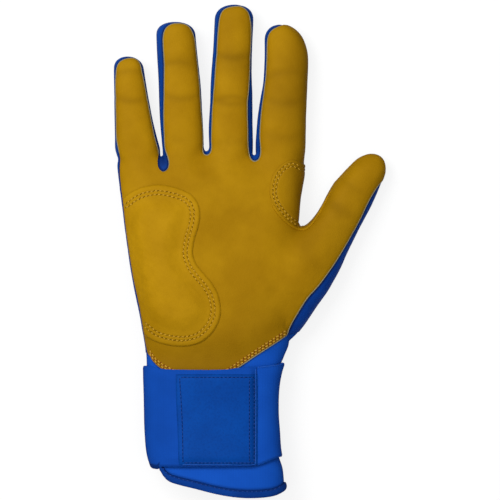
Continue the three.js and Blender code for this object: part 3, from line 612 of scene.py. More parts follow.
# Woven nylon tape with brushed loops or moulded hooks: dark, rough, evenly dotted
def tapeFace(pitch, depth):
    return {
        "patterns": {"dots": ("TexVoronoi", pitch, {"Randomness": 0.35})},
        "light": ("dots", None), "reliefs": {"dots": -depth}, "roughness": 0.8, "specular": 0.2, "sheen": 0.2,
    }


neoprene = knit(1.5, relief=0.03, shade=0.08)
ribbing = knit(1.2, across="Y", relief=0.2, shade=0.35)
goldSheepskin = makeFinish("gold_glazed_sheepskin", "#a77a05", "#b38509", goldSkin)
patchSheepskin = makeFinish("gold_patch_sheepskin", "#b18307", "#bc8d0b", goldSkin)
cutEdge = makeFinish("pared_leather_edge", "#7c795d", "#9e9a7e", paredSkin)
blueLeather = makeFinish("blue_calendered_pu", "#0c4096", "#0f49a6", blueSkin)
gussetLeather = makeFinish("deep_blue_calendered_pu", "#093d97", "#0b46a6", blueSkin)
tabLeather = makeFinish("matt_blue_calendered_pu", "#00449e", "#004aa8", blueSkin)
strapFabric = makeFinish("laminated_neoprene_jersey", "#0f4aac", "#114fb6", neoprene)
# Painted light: the strap's neoprene jersey in a lighter copy, for the cuff front and the strap's fixed part,
# which turn away from the lamp
paintedLightNeoprene = makeFinish("neoprene_jersey_with_painted_light", "#1253bf", "#1559c8", neoprene)
stretchKnit = makeFinish("ribbed_elastane_knit", "#0c3f97", "#114bab", ribbing)
hemKnit = makeFinish("binding_jersey", "#0a3a8d", "#0d449d", knit(0.9, across="Y", shade=0.12))
lining = makeFinish("brushed_tricot_lining", "#0b1c42", "#16305f", tricot)
goldThread = makeFinish("gold_bonded_nylon_thread", "#bd9018", "#d6a733", thread())
hemThread = makeFinish("thick_gold_nylon_thread", "#ba8816", "#dfae40", thread(0.5))
paleThread = makeFinish("light_blue_nylon_thread", "#1552b2", "#1d60c0", thread())
navyThread = makeFinish("navy_bonded_nylon_thread", "#06276a", "#0f45a0", thread())
goldHoles = makeFinish("needle_hole_painted_shade_gold", "#4f3502", "#684804", holeShade)
redHoles = makeFinish("needle_hole_painted_shade_wrist", "#571c0a", "#7a2a10", holeShade)
navyHoles = makeFinish("needle_hole_painted_shade_blue", "#02123a", "#041c50", holeShade)
foam = makeFinish("open_cell_foam", "#a39c80", "#d8d2bb", openCells)
loopTape = makeFinish("brushed_nylon_loop_tape", "#0c3678", "#06204f", tapeFace(0.8, 0.25))
hookTape = makeFinish("moulded_nylon_hook_tape", "#1149a0", "#041b45", tapeFace(1.2, 0.5))


def lined(finish):  # finishes of a panel's outside, cut edge and inside
    return [finish, cutEdge, lining]


print("finishes made")

# Lines sewn or cut across the form, seen from the palm
wristCurve = [
    (18.5, -114.7), (20.7, -118), (23.7, -121.1), (29, -124.6), (36, -127.4), (46, -129.5), (56, -128.3),
    (64, -125), (71.3, -120.2), (78.6, -115.2), (86.4, -110.2), (92.6, -106.2), (95.6, -104.2),
]
plans = {
    "leather": smoothLine([
        (17.1, -109.6), (13.4, -87.2), (9.9, -70.4), (7.3, -53.6), (5.1, -36.8), (3.1, -20), (1.5, -8.8),
        (0.6, 0.7), (0.3, 16.4), (0, 32), (0, 41), (0.9, 46.6), (3.5, 49.7), (8, 50.9), (11.6, 50.2),
        (13.4, 47.7), (14.6, 42.7), (17.1, 30.4), (19.6, 16.4), (21.8, 6.3), (23.8, -1.6), (23.5, -6.8),
        (24.2, -10.6), (26.6, -12.9), (29.3, -11.4), (30.1, -7.8), (29.1, -3.4), (27.8, 1), (27.3, 10.8),
        (27.1, 21.4), (27.4, 46), (26.6, 60), (27, 65.1), (28.5, 68.1), (31, 69.8), (34.3, 70.3),
        (38.2, 69.9), (40.8, 68.4), (42.6, 65.6), (44, 61.2), (45.4, 50), (46.8, 33.2), (48.1, 16.4),
        (48.5, 5.2), (48.6, -0.4), (49.3, -2.7), (51, -3.6), (52.8, -2.7), (53.8, 0.1), (53.9, 6.3),
        (54.4, 24.2), (55.6, 36.7), (56.6, 52.4), (57.5, 64.9), (58.5, 73.5), (60.1, 77.4), (62.9, 79.1),
        (66.2, 79.7), (69.6, 79.8), (72.1, 78.6), (74.3, 75.9), (75.6, 68.4), (75.2, 52.2), (74.5, 36.5),
        (73.7, 24.2), (73.8, 10.8), (74.1, 0.7), (75.2, -4.7), (77.8, -7.2), (80.4, -5.4), (81.3, -1.6),
        (80.9, 6.3), (81, 11.9), (82.1, 24.2), (83.4, 33.7), (84.6, 46), (84.9, 57.8), (85.5, 63.2),
        (87.3, 66.2), (90.3, 68), (93.6, 69.3), (98, 71.2), (104, 69.6), (109, 64), (112.5, 56),
        (113, 44.4), (112, 22), (112, -0.4), (112, -10.5), (113.2, -13), (118, -9.4), (124, -4.6),
        (130, -0.8), (137, 2.4), (144, 2.8), (150, 0.4), (154, -5), (154, -11), (151, -15.6),
        (148.2, -18.7), (145.5, -22.3),
        (141.7, -28.8), (137, -38.5), (132.2, -47.5), (126.8, -56.8), (121, -66.2), (113.8, -75.7),
        (107.1, -83.3), (101.5, -92.1), (97.9, -98.3), (96.5, -101.8), *wristCurve[::-1],
    ], closed=True),
    "heel": smoothLine([
        (-2.1, -31.8), (4.6, -27.6), (9.1, -24.2), (15.3, -21.5), (23.7, -20.2), (32.1, -21.4), (39.9, -24.1),
        (44.4, -27.7), (46.8, -32.6), (47.3, -38), (46.4, -43.6), (44.5, -49.7), (43.5, -55), (43.4, -59.2),
        (45.2, -64.1), (49.1, -69.2), (53.8, -74.7), (57.2, -80.8), (58.7, -87.5), (58.6, -93.4),
        (56.5, -99.1), (52.4, -104.4), (47, -108.1), (40.2, -109.8), (33.2, -109.8), (25.9, -108.4),
        (20.3, -106.2), (15.3, -102.4), (8, -96.8), (-6, -84), (-10, -60), (-8, -40),
    ], closed=True),
    "index": smoothLine([
        (113.5, -12.4), (105.8, -8.8), (99.3, -6), (93.9, -7.8), (89.2, -12.6), (86.7, -18.9), (86.3, -25.6),
        (88.2, -31.6), (91.9, -37.1), (96.3, -41.4), (100, -44), (103, -45.4), (105.4, -44.6), (106.4, -40),
        (108, -34), (110, -28), (113, -20),
    ], closed=True),
}
lowerEdge = smoothLine([(4, -111.6), (14, -113.2), *wristCurve, (100, -102.8), (112, -101)])
hemLine = smoothLine([
    (8, -170), (13.6, -173), (22, -177.2), (25.1, -179.4), (27.2, -182.6), (30.4, -185.5), (36.3, -187.4),
    (44.8, -189.4), (53.4, -191.6), (62.3, -193.4), (71.5, -194.4), (80.6, -194.4), (88.5, -193.5),
    (94, -191.1), (96.5, -188.5), (103.2, -183),
])
strapTop = smoothLine([
    (2, -121), (15.7, -121.2), (20.3, -121.7), (26.5, -122.9), (36, -123.4), (59.5, -123.4), (69, -122.4),
    (80.8, -121.5), (91.4, -120.1), (94, -119.2), (110, -118),
])
strapBottom = smoothLine([
    (2, -158), (13.5, -162), (16, -166.8), (17.8, -172), (19.2, -175.4), (21.2, -177.7), (23.4, -178.4),
    (24.8, -178.4), (25.8, -177.2), (30.4, -177), (47.2, -177), (70, -176.9), (78.6, -176.6), (81.9, -175.6),
    (92.3, -172.1), (110, -170.5),
])
print("plans drawn")


def aboveLine(line, points):  # how far points lie above a line drawn across the hand, seen from the palm
    return points[:, 1] - np.interp(points[:, 0], line[:, 0], line[:, 1])


def least(*fields):
    return np.minimum.reduce(fields)


# Soft bends of the leather: place, direction across it, half width, half length, depth
bends = [
    (7, 43.5, 4, 2.0, 8, 0.28), (8, 27, -6, 2.2, 9, 0.35),
    (34, 48.5, 3, 2.0, 9, 0.3), (36, 28, -4, 2.4, 10, 0.38),
    (66, 51, -3, 2.2, 10, 0.38), (64, 29, 3, 1.8, 11, 0.3), (65, 25, -4, 2.2, 11, 0.3),
    (95, 43, 5, 2.4, 11, 0.25), (94, 25.5, -4, 2.6, 11, 0.3),
    (37, 5, -4, 3, 10, 0.15), (65, 4, 3, 3.2, 12, 0.15), (93, 6, -6, 3, 12, 0.2),
    (108, -60, 118, 5, 16, 0.16), (124, -33, -38, 3, 9, 0.28), (132, -21, -34, 2.2, 8, 0.2),
]
# Mounds and hollows of the hand below: place, half width along x and y, height
mounds = [
    (66, -50, 17, 26, -1.0), (88, -74, 15, 20, 0.9), (30, -66, 22, 36, 0.5), (58, -116, 60, 9, -1.5),
]
# Painted shade on the palm where it turns from the light: place, half width along x and y, depth
paintedPalmShade = [
    (50, -126, 55, 26, 0.5), (86, -100, 18, 20, 0.2), (108, 30, 11, 50, 0.5), (104, -24, 8, 20, 0.6),
    (67, 50, 9, 7, 0.3), (77, 36, 5, 44, 0.22), (38, 48, 10, 6, 0.12), (94, 26, 10, 10, 0.2),
    (125, -40, 14, 22, 0.2), (96, 45, 12, 10, 0.1), (48, 22, 4, 36, 0.15),
]
# Between fingers and thumb: place and width of the even skin, and whether the walls there keep their place
crotches = [(25.8, -10, 8, True), (51, -8, 8, False), (77.6, -11, 8, True), (100, -54, 18, True)]
ripples = [(24, 0.12, 3), (9, 0.03, 4)]  # length, height and seed
shaping = {
    "palmUp": (6, 11),  # heights over which a side turns into the palm
    "evenIn": (3, 11),  # from the leather's edge inwards
    "evenBelow": (2, 14),  # from the fingers down
    "crotchUp": (6.5, 9), "crotchGain": 1.6,
    "wall": (0.1, 0.5),  # upward part of the normal on a wall that keeps its place
    "rippled": (-118, -100), "wristRipple": 0.35,  # where ripples fade, and what is left at the wrist
    "palmEnd": (-128, -112), "palmStart": (-14, 6),
    # painted shade: normal heights over which the steep sides' shade fades, and the share and most of it in
    # the bends' creases
    "sideTurn": (0.05, 0.5), "bendDark": 0.7, "bendDarkest": 0.3,
}
# Below its widest height a side is blue, but the leather goes down beside the index finger
# and in the crotches
wrap = {"from": (90, 96), "beforeThumb": (0, 6), "crotch": 0.7, "gain": 3, "turn": 0.05, "slope": 20}
littleRoot = {"trim": 1.6, "place": (0.7, -4.4, 7, 7)}  # no leather tip at the little finger's root


def bendOf(points):
    total = np.zeros(len(points))
    for bx, by, turn, width, length, depth in bends:
        angle = math.radians(turn)
        dx, dy = points[:, 0] - bx, points[:, 1] - by
        along = dx * math.cos(angle) + dy * math.sin(angle)
        across = -dx * math.sin(angle) + dy * math.cos(angle) + 0.02 * along**2 * math.copysign(1, turn)
        total += depth * np.exp(-((across / width) ** 2) - (along / length) ** 4)
    return total


points, triangles = sewnForm()
print("form sewn:", len(points), "points")
palmUp = smoothstep(points[:, 2], *shaping["palmUp"])
leatherIn = insideBy(plans["leather"], points)
spread = smoothstep(leatherIn, *shaping["evenIn"]) * palmUp * fading(points[:, 1], *shaping["evenBelow"])
for cx, cy, wide, held in crotches:
    near = hill(points, cx, cy, wide, wide) * smoothstep(points[:, 2], *shaping["crotchUp"])
    if held:
        near *= smoothstep(points[:, 5], *shaping["wall"])
    spread = np.maximum(spread, np.minimum(shaping["crotchGain"] * near, 1))
used, moved = evened(points, triangles, spread, hand["evenings"])
points[used, :3] = moved
leatherIn[used] = insideBy(plans["leather"], points[used])
points[:, 3:6] = normalsOf(points, triangles)
onPalm = palmUp * smoothstep(points[:, 1], *shaping["palmEnd"]) * fading(points[:, 1], *shaping["palmStart"])
bent = bendOf(points) * palmUp
left = shaping["wristRipple"]
fine = sum(ripple(points, length, seed) * rise for length, rise, seed in ripples)
fine *= (left + (1 - left) * smoothstep(points[:, 1], *shaping["rippled"])) * palmUp
points[:, :3] += points[:, 3:6] * (fine - bent)[:, None]
# Painted shade on the steep sides
steep = hand["steepShade"] * fading(np.abs(points[:, 5]), *shaping["sideTurn"])
# Painted shade in the bends' creases, or the steep sides' painted shade where that is more
points[:, 6] = np.maximum(np.clip(bent * shaping["bendDark"], 0, shaping["bendDarkest"]), steep)
points[:, 2] -= hand["edgeFall"] * fading(leatherIn, 0, hand["edgeWidth"]) * onPalm
for *place, rise in mounds:
    points[:, 2] += rise * hill(points, *place) * palmUp
points[:, 3:6] = normalsOf(points, triangles)
x, y, z = points[:, :3].T
thumbX, thumbY = x - thumb["tip"][0], y - thumb["tip"][1]
thumbSide = thumbX * thumbOut[0] + thumbY * thumbOut[1]
wrapped = smoothstep(x, *wrap["from"]) * fading(thumbSide, *wrap["beforeThumb"])
for cx, cy, wide, _ in crotches:
    wrapped = np.maximum(wrapped, hill(points, cx, cy, *[wrap["crotch"] * wide] * 2))
leatherIn = np.minimum(leatherIn, wrap["slope"] * (points[:, 5] - wrap["turn"] + wrap["gain"] * wrapped))
leatherIn -= littleRoot["trim"] * hill(points, *littleRoot["place"])
heelIn = insideBy(plans["heel"], points)
indexIn = insideBy(plans["index"], points)
palmSide = aboveLine(lowerEdge, points)
hemUp = aboveLine(hemLine, points)
seamUp = z - hand["seamHeight"]
print("form shaped")


def clipped(mesh, starts):  # the part where each field is above its start; also every distance inside
    for number, start in enumerate(starts):
        mesh = clip(mesh, mesh[0][:, perPoint + number] - start)
    return (mesh[0][:, :perPoint], mesh[1]), mesh[0][:, perPoint:].T


def cutOut(fields, *carried):  # the part of the form where every field is above zero
    return clipped((np.column_stack([points, *fields, *carried]), triangles), [0.0] * len(fields))


def rolled(distance, full, drop=0.35, width=0.9):  # a panel's height, rolled down towards its seams
    return full - drop * bump(np.maximum(distance, 0), width)


def shaded(mesh, distance, depth, width):  # painted shade along a seam or edge
    mesh[0][:, 6] = np.maximum(mesh[0][:, 6], depth * bump(distance, width))


def addPaintedPalmShade(mesh):  # painted shade at the palm's listed spots
    for *place, depth in paintedPalmShade:
        mesh[0][:, 6] = 1 - (1 - mesh[0][:, 6]) * (1 - depth * hill(mesh[0], *place))


# Palm leather, one skin over the palm and the fronts of all fingers
palmLeather = {"proud": 0.5, "edgeDrop": 0.3, "inside": -0.3}
palmSkin, inner = cutOut([leatherIn, seamUp, palmSide])
edge = least(*inner)
# painted shade on the palm leather
addPaintedPalmShade(palmSkin)
palmMade = addSewn("palm_leather_skin", palmSkin, rolled(edge, palmLeather["proud"], palmLeather["edgeDrop"]),
                   palmLeather["inside"], lined(goldSheepskin), "gold_leather")
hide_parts("palm_leather")
print("palm leather cut")

# Side walls between the palm leather and the backs, with painted shade along the leather's edge and in the
# little finger's web
sideWall = {"edgeDrop": 0.35, "thickness": 1.0, "gap": 0.05, "seamDark": 0.88, "seamFull": 0.8,
            "seamFade": 0.8, "web": (26.2, -6.4), "webDark": 0.7, "webWidth": 4.5}
palmRim = treeFrom(palmSkin[0][np.unique(openEdges(palmSkin[1])), :3])
centres = {name: curveAt(finger["rows"], y).mean(1) for name, finger in fingers.items()}
sideWalls = {
    "little_side_wall": ([np.where(y < -22, 50, centres["little"]) - x], blueLeather),
    "little_ring_fourchette": ([x - centres["little"], centres["ring"] - x, y + 40], blueLeather),
    "ring_middle_fourchette": ([x - centres["ring"], centres["middle"] - x, y + 40], blueLeather),
    "middle_index_fourchette": ([x - centres["middle"], 112 - x, y + 15], blueLeather),
    "thumb_gusset": ([np.where(y > -15, x - 112, x - 85)], gussetLeather),
}
for name, (fields, finish) in sideWalls.items():
    wall, inner = cutOut([-leatherIn - sideWall["gap"], seamUp, palmSide, *fields])
    # painted shade on the wall along the palm leather's edge, and in the web between the little and ring
    # fingers
    far = np.array([palmRim.find(place)[2] for place in wall[0][:, :3].tolist()])
    shaded(wall, np.maximum(far - sideWall["seamFull"], 0), sideWall["seamDark"], sideWall["seamFade"])
    webFar = np.hypot(*(wall[0][:, :2] - sideWall["web"]).T)
    shaded(wall, webFar, sideWall["webDark"], sideWall["webWidth"])
    height = rolled(least(*inner[:2]), 0.0, sideWall["edgeDrop"])
    made = addSewn(name + "_sewn", wall, height, -sideWall["thickness"], lined(finish), "blue_leather")
    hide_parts(name)
print("side walls cut")

# Backs, pressed flat where the hand lies
backPanel = {"flexTop": -13.0, "flexEnd": -23.0, "elastic": 11.0, "thumbBack": 62.0, "thumbFrom": 99.5,
             "between": (-50, 25.6, 51, 77.6, 106.5), "thickness": 1.1, "drop": 0.45, "dropWidth": 1.2,
             "seamDark": 0.5, "seamWidth": 0.6, "gap": 0.05, "inHem": 1.2}
elasticTop = hand["wrist"] + backPanel["elastic"]
onThumb = least(backPanel["thumbBack"] + thumbX * thumbAlong[0] + thumbY * thumbAlong[1],
                x - backPanel["thumbFrom"])
bounds = backPanel["between"]
backs = {}
for name, low, high in zip(fingers, bounds, bounds[1:]):
    backs[name + "_back"] = [x - low, high - x, y - backPanel["flexTop"], -onThumb]
backs["knuckle_flex_panel"] = [backPanel["flexTop"] - y, y - backPanel["flexEnd"], -onThumb]
backs["hand_back"] = [backPanel["flexEnd"] - y, y - elasticTop, -onThumb]
backs["thumb_back"] = [onThumb]
backs["wrist_elastic"] = [elasticTop - y, y - hand["wrist"]]
backs["cuff_back"] = [hand["wrist"] - y, hemUp - backPanel["inHem"]]
for name, fields in backs.items():
    stretch = name in ("knuckle_flex_panel", "wrist_elastic")
    panel, inner = cutOut([-seamUp - backPanel["gap"], *fields])
    edge = least(*inner)
    # painted shade along the panel's seams
    shaded(panel, edge, backPanel["seamDark"], backPanel["seamWidth"])
    height = rolled(edge, 0.1, backPanel["drop"], backPanel["dropWidth"])
    finish, slot = (stretchKnit, "blue_stretch") if stretch else (blueLeather, "blue_leather")
    made = addSewn(name + "_sewn", panel, height, 0.1 - backPanel["thickness"], lined(finish), slot)
    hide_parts(name)
print("backs cut")

# Strap: fixed round the back and the thumb side, free over the palm side from the ulnar edge on
strap = {"thickness": 1.5, "gap": 0.3, "lift": 2.2, "liftStart": 22.4, "liftRun": 15.0, "end": 78.8,
         "meet": 7.0, "bendFrom": 8.0, "bendTo": 20.0, "axis": (15.0, -150.0), "edge": 0.5,
         "pressed": (0.6, 0.92),  # how much lower the strap lies beside the tapes and at its end
         "edgeDark": 0.3, "foldDark": 0.65, "foldEnd": 25.7}
bottomUp = aboveLine(strapBottom, points)
strapIn = least(-aboveLine(strapTop, points), bottomUp)


def liftOf(spots):  # the free part's height over what it closes on
    across = spots[:, 0]
    border = least(-aboveLine(strapTop, spots), aboveLine(strapBottom, spots))
    raised = 1 - strap["pressed"][0] * fading(border, 0.5, 5.5)
    raised *= 1 - strap["pressed"][1] * fading(strap["end"] - across, 0.2, 4.5)
    start = strap["liftStart"]
    return strap["lift"] * raised * smoothstep(across, start, start + strap["liftRun"])


# Cuff front with the hem bound round its lower edge, open in a slit below the strap's fold
cuff = {"slit": 25.2, "slitTop": -130.0, "hem": 4.5, "roll": 0.95, "seamDark": 0.2, "hemDark": 0.45,
        "topDark": 0.7, "overlap": 2.5, "inHem": 1.2}
slit = np.maximum(x - cuff["slit"], y - cuff["slitTop"])
cuffFront, inner = cutOut([cuff["overlap"] - palmSide, seamUp, hemUp - cuff["inHem"], slit], bottomUp)
# Painted shadow under the strap's bottom edge; painted shade along the hem's top and under the palm leather's
# lower edge
shaded(cuffFront, inner[4] + 0.8, cuff["seamDark"], 0.7)
shaded(cuffFront, inner[2] - 3.5, cuff["hemDark"], 0.7)
shaded(cuffFront, inner[0] - cuff["overlap"], cuff["topDark"], 0.8)
cuffMade = addSewn("cuff_front_sewn", cuffFront, -0.35, -1.4, lined(paintedLightNeoprene), "blue_leather")
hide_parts("cuff_front")
hemBand, inner = cutOut([cuff["hem"] - hemUp, hemUp, np.maximum(slit, -seamUp)])
middle = cuff["hem"] / 2
roll = np.sqrt(np.clip(1 - ((inner[1] - middle) / (middle + 0.05)) ** 2, 0, 1))
# painted shade along the hem's top edge
shaded(hemBand, inner[0], cuff["topDark"], 0.6)
hemMade = addSewn("cuff_hem_bound", hemBand, 0.1 + cuff["roll"] * roll, -1.9, [hemKnit] * 3, "blue_stretch")
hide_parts("cuff_hem")
print("cuff cut")


def patchCut(plan, fields, starts):  # a finer piece of the form inside a patch's outline, with its distances
    near = finer(clip((np.column_stack([points, *fields]), triangles), fields[0] + 1.5))
    near[0][:, perPoint] = insideBy(plan, near[0])
    return clipped(near, [0.0, *starts])


def stitchDip(inside, rows, depth, width=0.6):  # the skin pulled down along the rows of stitches
    return sum(depth * bump(inside - row, width) for row in rows)


# Patch and pad over the heel of the hand
heelPatch = {"lip": 6.6, "pad": 2.0, "slope": 10.0, "thickness": 1.0, "rows": (3.1, 5.2), "side": 0.7,
             "dip": 0.3, "fill": 0.7, "fade": 9, "rough": (0.04, 3.2, 8)}  # height, length and seed
lie = {"outside": 0.5, "inside": 0.45}  # a patch's height over the form, before its own thickness
heelSkin, (inside, side, _) = patchCut(plans["heel"], [heelIn, leatherIn, seamUp], [heelPatch["side"], 1.5])
side = side - heelPatch["side"]
atSide = smoothstep(side, 0, heelPatch["fade"])
padShare = smoothstep(inside - heelPatch["lip"], 0, heelPatch["slope"]) * atSide
rowDip = stitchDip(inside, heelPatch["rows"], heelPatch["dip"]) * smoothstep(side, 0.5, 3)
rounded = 0.6 * bump(inside, 0.5) + 0.5 * bump(side, 0.6)
# painted shade along the patch's edge
shaded(heelSkin, inside, 0.25, 0.35)
outer = lie["outside"] + heelPatch["thickness"] + heelPatch["pad"] * padShare - rowDip - rounded
rise, length, seed = heelPatch["rough"]
outer += rise * ripple(heelSkin[0], length, seed)
# painted shade on the heel patch
addPaintedPalmShade(heelSkin)
heelMade = addSewn("heel_patch_sewn", heelSkin, outer, lie["inside"], lined(patchSheepskin), "gold_leather")
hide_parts("heel_patch")
lip = heelPatch["lip"] + 0.6
pad, (inside, side) = clipped((np.column_stack([heelSkin[0], inside, side]), heelSkin[1]), [lip])
padShare = smoothstep(inside - lip, 0, heelPatch["slope"] - 1) * smoothstep(side, 0, heelPatch["fade"])
padMade = addSewn("heel_foam_pad", pad, 0.62 + 0.85 * heelPatch["pad"] * padShare, 0.5, [foam] * 3, "foam")
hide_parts("heel_pad")
print("heel patch padded")

# Patch at the index finger's root
indexPatch = {"thickness": 0.9, "rows": (1.9, 3.6), "dip": 0.28,
              "thin": 0.65, "thinAt": (104, -43, 5, 5)}  # thinner in the crotch
indexSkin, (inside, _) = patchCut(plans["index"], [indexIn, seamUp], [0.3])
# painted shade along the patch's edge
shaded(indexSkin, inside, 0.3, 0.35)
# painted shade on the index patch
addPaintedPalmShade(indexSkin)
rowDip = stitchDip(inside, indexPatch["rows"], indexPatch["dip"], 0.5)
outer = lie["outside"] + indexPatch["thickness"] - rowDip
outer -= indexPatch["thin"] * hill(indexSkin[0], *indexPatch["thinAt"])
indexMade = addSewn("index_patch_sewn", indexSkin, outer - 0.5 * bump(inside, 0.5), lie["inside"],
                    [goldSheepskin, goldSheepskin, lining], "gold_leather")
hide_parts("index_patch")
print("index patch sewn")

# The strap's free part and its fixed part
band, inner = cutOut([strapIn, z - strap["meet"], strap["end"] - x], bottomUp)
height = strap["gap"] + liftOf(band[0])
rounding = 0.5 * bump(least(*inner[:3]), strap["edge"])
# Painted shade along the free part's bottom edge, and a painted dark strip at its fold on the left
shaded(band, inner[3] - 0.6, strap["edgeDark"], 0.5)
fold = np.where(band[0][:, 0] < strap["foldEnd"], np.maximum(inner[3] - 2.4, 0), 9)
shaded(band, fold, strap["foldDark"], 0.4)
bandMade = addSewn("strap_band_sewn", band, height + strap["thickness"] - rounding, height,
                   [strapFabric, strapFabric, loopTape], "blue_stretch", body=None)
fixed, inner = cutOut([strapIn, np.maximum(strap["meet"] - z, x - strap["end"] - 0.15)])
rounding = 0.5 * bump(inner[0], strap["edge"])
# painted shade along the fixed part's top and bottom edges
shaded(fixed, inner[0] - 0.6, strap["edgeDark"], 0.5)
backMade = addSewn("strap_back_sewn", fixed, strap["gap"] + strap["thickness"] - rounding, strap["gap"],
                   [paintedLightNeoprene, paintedLightNeoprene, lining], "blue_stretch")
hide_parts("strap_band")
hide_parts("strap_back")

# Stitched square on the strap's end, and the tapes that hold it down
tab = {"top": -125.9, "bottom": -176.2, "height": 0.55, "under": 0.05, "above": 15.0,
       "left": [(34.4, -120), (34.7, -138), (35.7, -160), (36.4, -180)]}
tape = {"left": 40.3, "right": 74.8, "top": -131.2, "bottom": -171.7}
tabLeft = smoothLine(tab["left"], 0.5)[::-1]
square, inner = cutOut([x - np.interp(y, tabLeft[:, 1], tabLeft[:, 0]), strap["end"] + 0.1 - x,
                        tab["top"] - y, y - tab["bottom"], z - tab["above"]])
edge = least(*inner[:4])
# painted shade along the square's left, top and bottom edges
shaded(square, least(inner[0], inner[2], inner[3]) - 0.1, 0.3, 0.35)
top = strap["gap"] + strap["thickness"] + liftOf(square[0])
outer = top + tab["height"] - 0.4 * bump(edge, 0.5) - 0.12 * bump(edge - 1.4, 0.5)
tabMade = addSewn("tab_square_sewn", square, outer, top - tab["under"], [tabLeather, tabLeather, lining],
                  "blue_leather", body="strap_flap")
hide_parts("tab_panel")
panel, _ = cutOut([
    x - tape["left"], tape["right"] - x, tape["top"] - y, y - tape["bottom"], z - tab["above"],
])
loopMade = addSewn("loop_tape_sewn", panel, 1.1, -0.3, [loopTape] * 3, "loop_tape")
hookMade = addSewn("hook_tape_sewn", panel, 2.45, 1.4, [hookTape] * 3, "hook_tape", body="strap_flap")
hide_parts("loop_patch")
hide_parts("hook_patch")
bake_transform(bandMade)
print("strap sewn")


def treeOf(*pieces):  # what stitches lie on
    corners, faces = [], []
    for piece in pieces:
        piece.data.calc_loop_triangles()
        faces.append(readOut(piece.data.loop_triangles, "vertices", kind=np.int32) + sum(map(len, corners)))
        corners.append(readOut(piece.data.vertices, "co") / mm - (handX, handY, 0))
    return BVHTree.FromPolygons(np.vstack(corners).tolist(), np.vstack(faces).tolist())


def landed(tree, line):  # line seen from above, laid on the surface: places and normals
    spots = []
    for px, py in line:
        hit, normal, _, _ = tree.ray_cast(Vector((px, py, 80)), Vector((0, 0, -1)))
        if hit is not None:
            spots.append((*hit, *normal))
    return np.array(spots)


def laidAlong(pieces, line):  # a rounded line laid on pieces: places, normals and the share along it
    spots = landed(treeOf(*pieces), smoothLine(line))
    return spots[:, :3], spots[:, 3:], np.linspace(0, 1, len(spots))


def tapered(share, steep, thinnest):  # thickness along a line that thins out at both ends
    return np.clip(np.minimum(share, 1 - share) * steep, thinnest, 1)


def sweep(line, up, wide, tall, sides=6):  # skin round a line, with a half width and height per point
    along = np.gradient(line, axis=0)
    along /= np.linalg.norm(along, axis=1)[:, None]
    aside = np.cross(along, up)
    aside /= np.maximum(np.linalg.norm(aside, axis=1)[:, None], 1e-9)
    lift = np.cross(aside, along)
    angle = np.linspace(0, 2 * np.pi, sides, endpoint=False)[None, :, None]
    wide = np.broadcast_to(wide, len(line))[:, None, None]
    tall = np.broadcast_to(tall, len(line))[:, None, None]
    outward = np.cos(angle) * wide * aside[:, None, :]
    return line[:, None, :] + outward + np.sin(angle) * tall * lift[:, None, :]


# a dark disc on the surface that stands in for the shade in a needle hole
def needleHole(centre, up, wide, sides=7):
    aside = np.cross(up, (0.3, 1, 0.1))
    aside /= np.linalg.norm(aside)
    angle = np.linspace(0, 2 * np.pi, sides, endpoint=False)[:, None]
    spoke = wide * (np.cos(angle) * aside + np.sin(angle) * np.cross(up, aside))
    return loft([centre + spoke - up * 0.12, centre + spoke, centre + 0.6 * spoke - up * 0.02])


stitch = {"points": 7, "sunk": 0.12, "facing": 0.45, "drop": 0.8, "flat": 0.85}


def stitchRow(tree, line, seam):  # threads and needle holes along a line
    line = evenly(np.asarray(line, float), seam["pitch"])
    steps = np.linspace(0, 1, stitch["points"])
    hump = np.sin(np.pi * steps) ** 0.6
    near, far = (1 - seam["share"]) / 2, (1 + seam["share"]) / 2
    threads, holes = [], []
    for here, there in zip(line, line[1:]):
        run = there - here
        skew = np.array([-run[1], run[0]]) * seam["slant"]
        spots = landed(tree, [here + run * near + skew, here + run * far - skew])
        if len(spots) < 2 or spots[:, 5].min() < stitch["facing"]:
            continue
        if np.ptp(spots[:, 2]) > stitch["drop"] * seam["pitch"]:
            continue
        up = spots[:, 3:].mean(0)
        base = spots[0, :3] * (1 - steps[:, None]) + spots[1, :3] * steps[:, None]
        curve = base + up * (hump * (seam["lift"] + stitch["sunk"]) - stitch["sunk"])[:, None]
        thick = seam["thread"] * np.clip(hump, 0.45, 1)
        threads.append(loft(sweep(curve, np.tile(up, (len(steps), 1)), thick, stitch["flat"] * thick)))
        holes += [needleHole(spot[:3] + spot[3:] * 0.04, spot[3:], seam["hole"]) for spot in spots]
    return threads, holes


def within(line, start, end):  # the part of a line between two places across the hand
    return line[(line[:, 0] > start) & (line[:, 0] < end)]


def addStitches(name, piece, lines, seam, finishes, slot, body="root"):
    tree = treeOf(piece)
    rows = [stitchRow(tree, line, seam) for line in lines]
    threads = joined([thread for row, _ in rows for thread in row])
    holes = joined([hole for _, row in rows for hole in row])
    kinds = np.repeat([0, 1], [len(threads[1]), len(holes[1])])
    return addPiece(name, *joined([threads, holes]), finishes, slot, kinds, body=body, sharp=60)


def insetLines(outline, inset):  # lines inside a closed outline, broken where they jump
    moved = outline + inwardFrom(outline) * inset
    kept = moved[insideBy(outline, moved) > inset * 0.93]
    kept = kept[(kept[:, 0] < patchSeam["ends"][0]) | (kept[:, 1] > patchSeam["ends"][1])]
    cuts = np.flatnonzero(np.linalg.norm(np.diff(kept, axis=0), axis=1) > 3) + 1
    return [part for part in np.split(kept, cuts) if len(part) > 4]


def soften(line, times):
    for _ in range(times):
        line[1:-1] = (line[:-2] + 2 * line[1:-1] + line[2:]) / 4
    return line


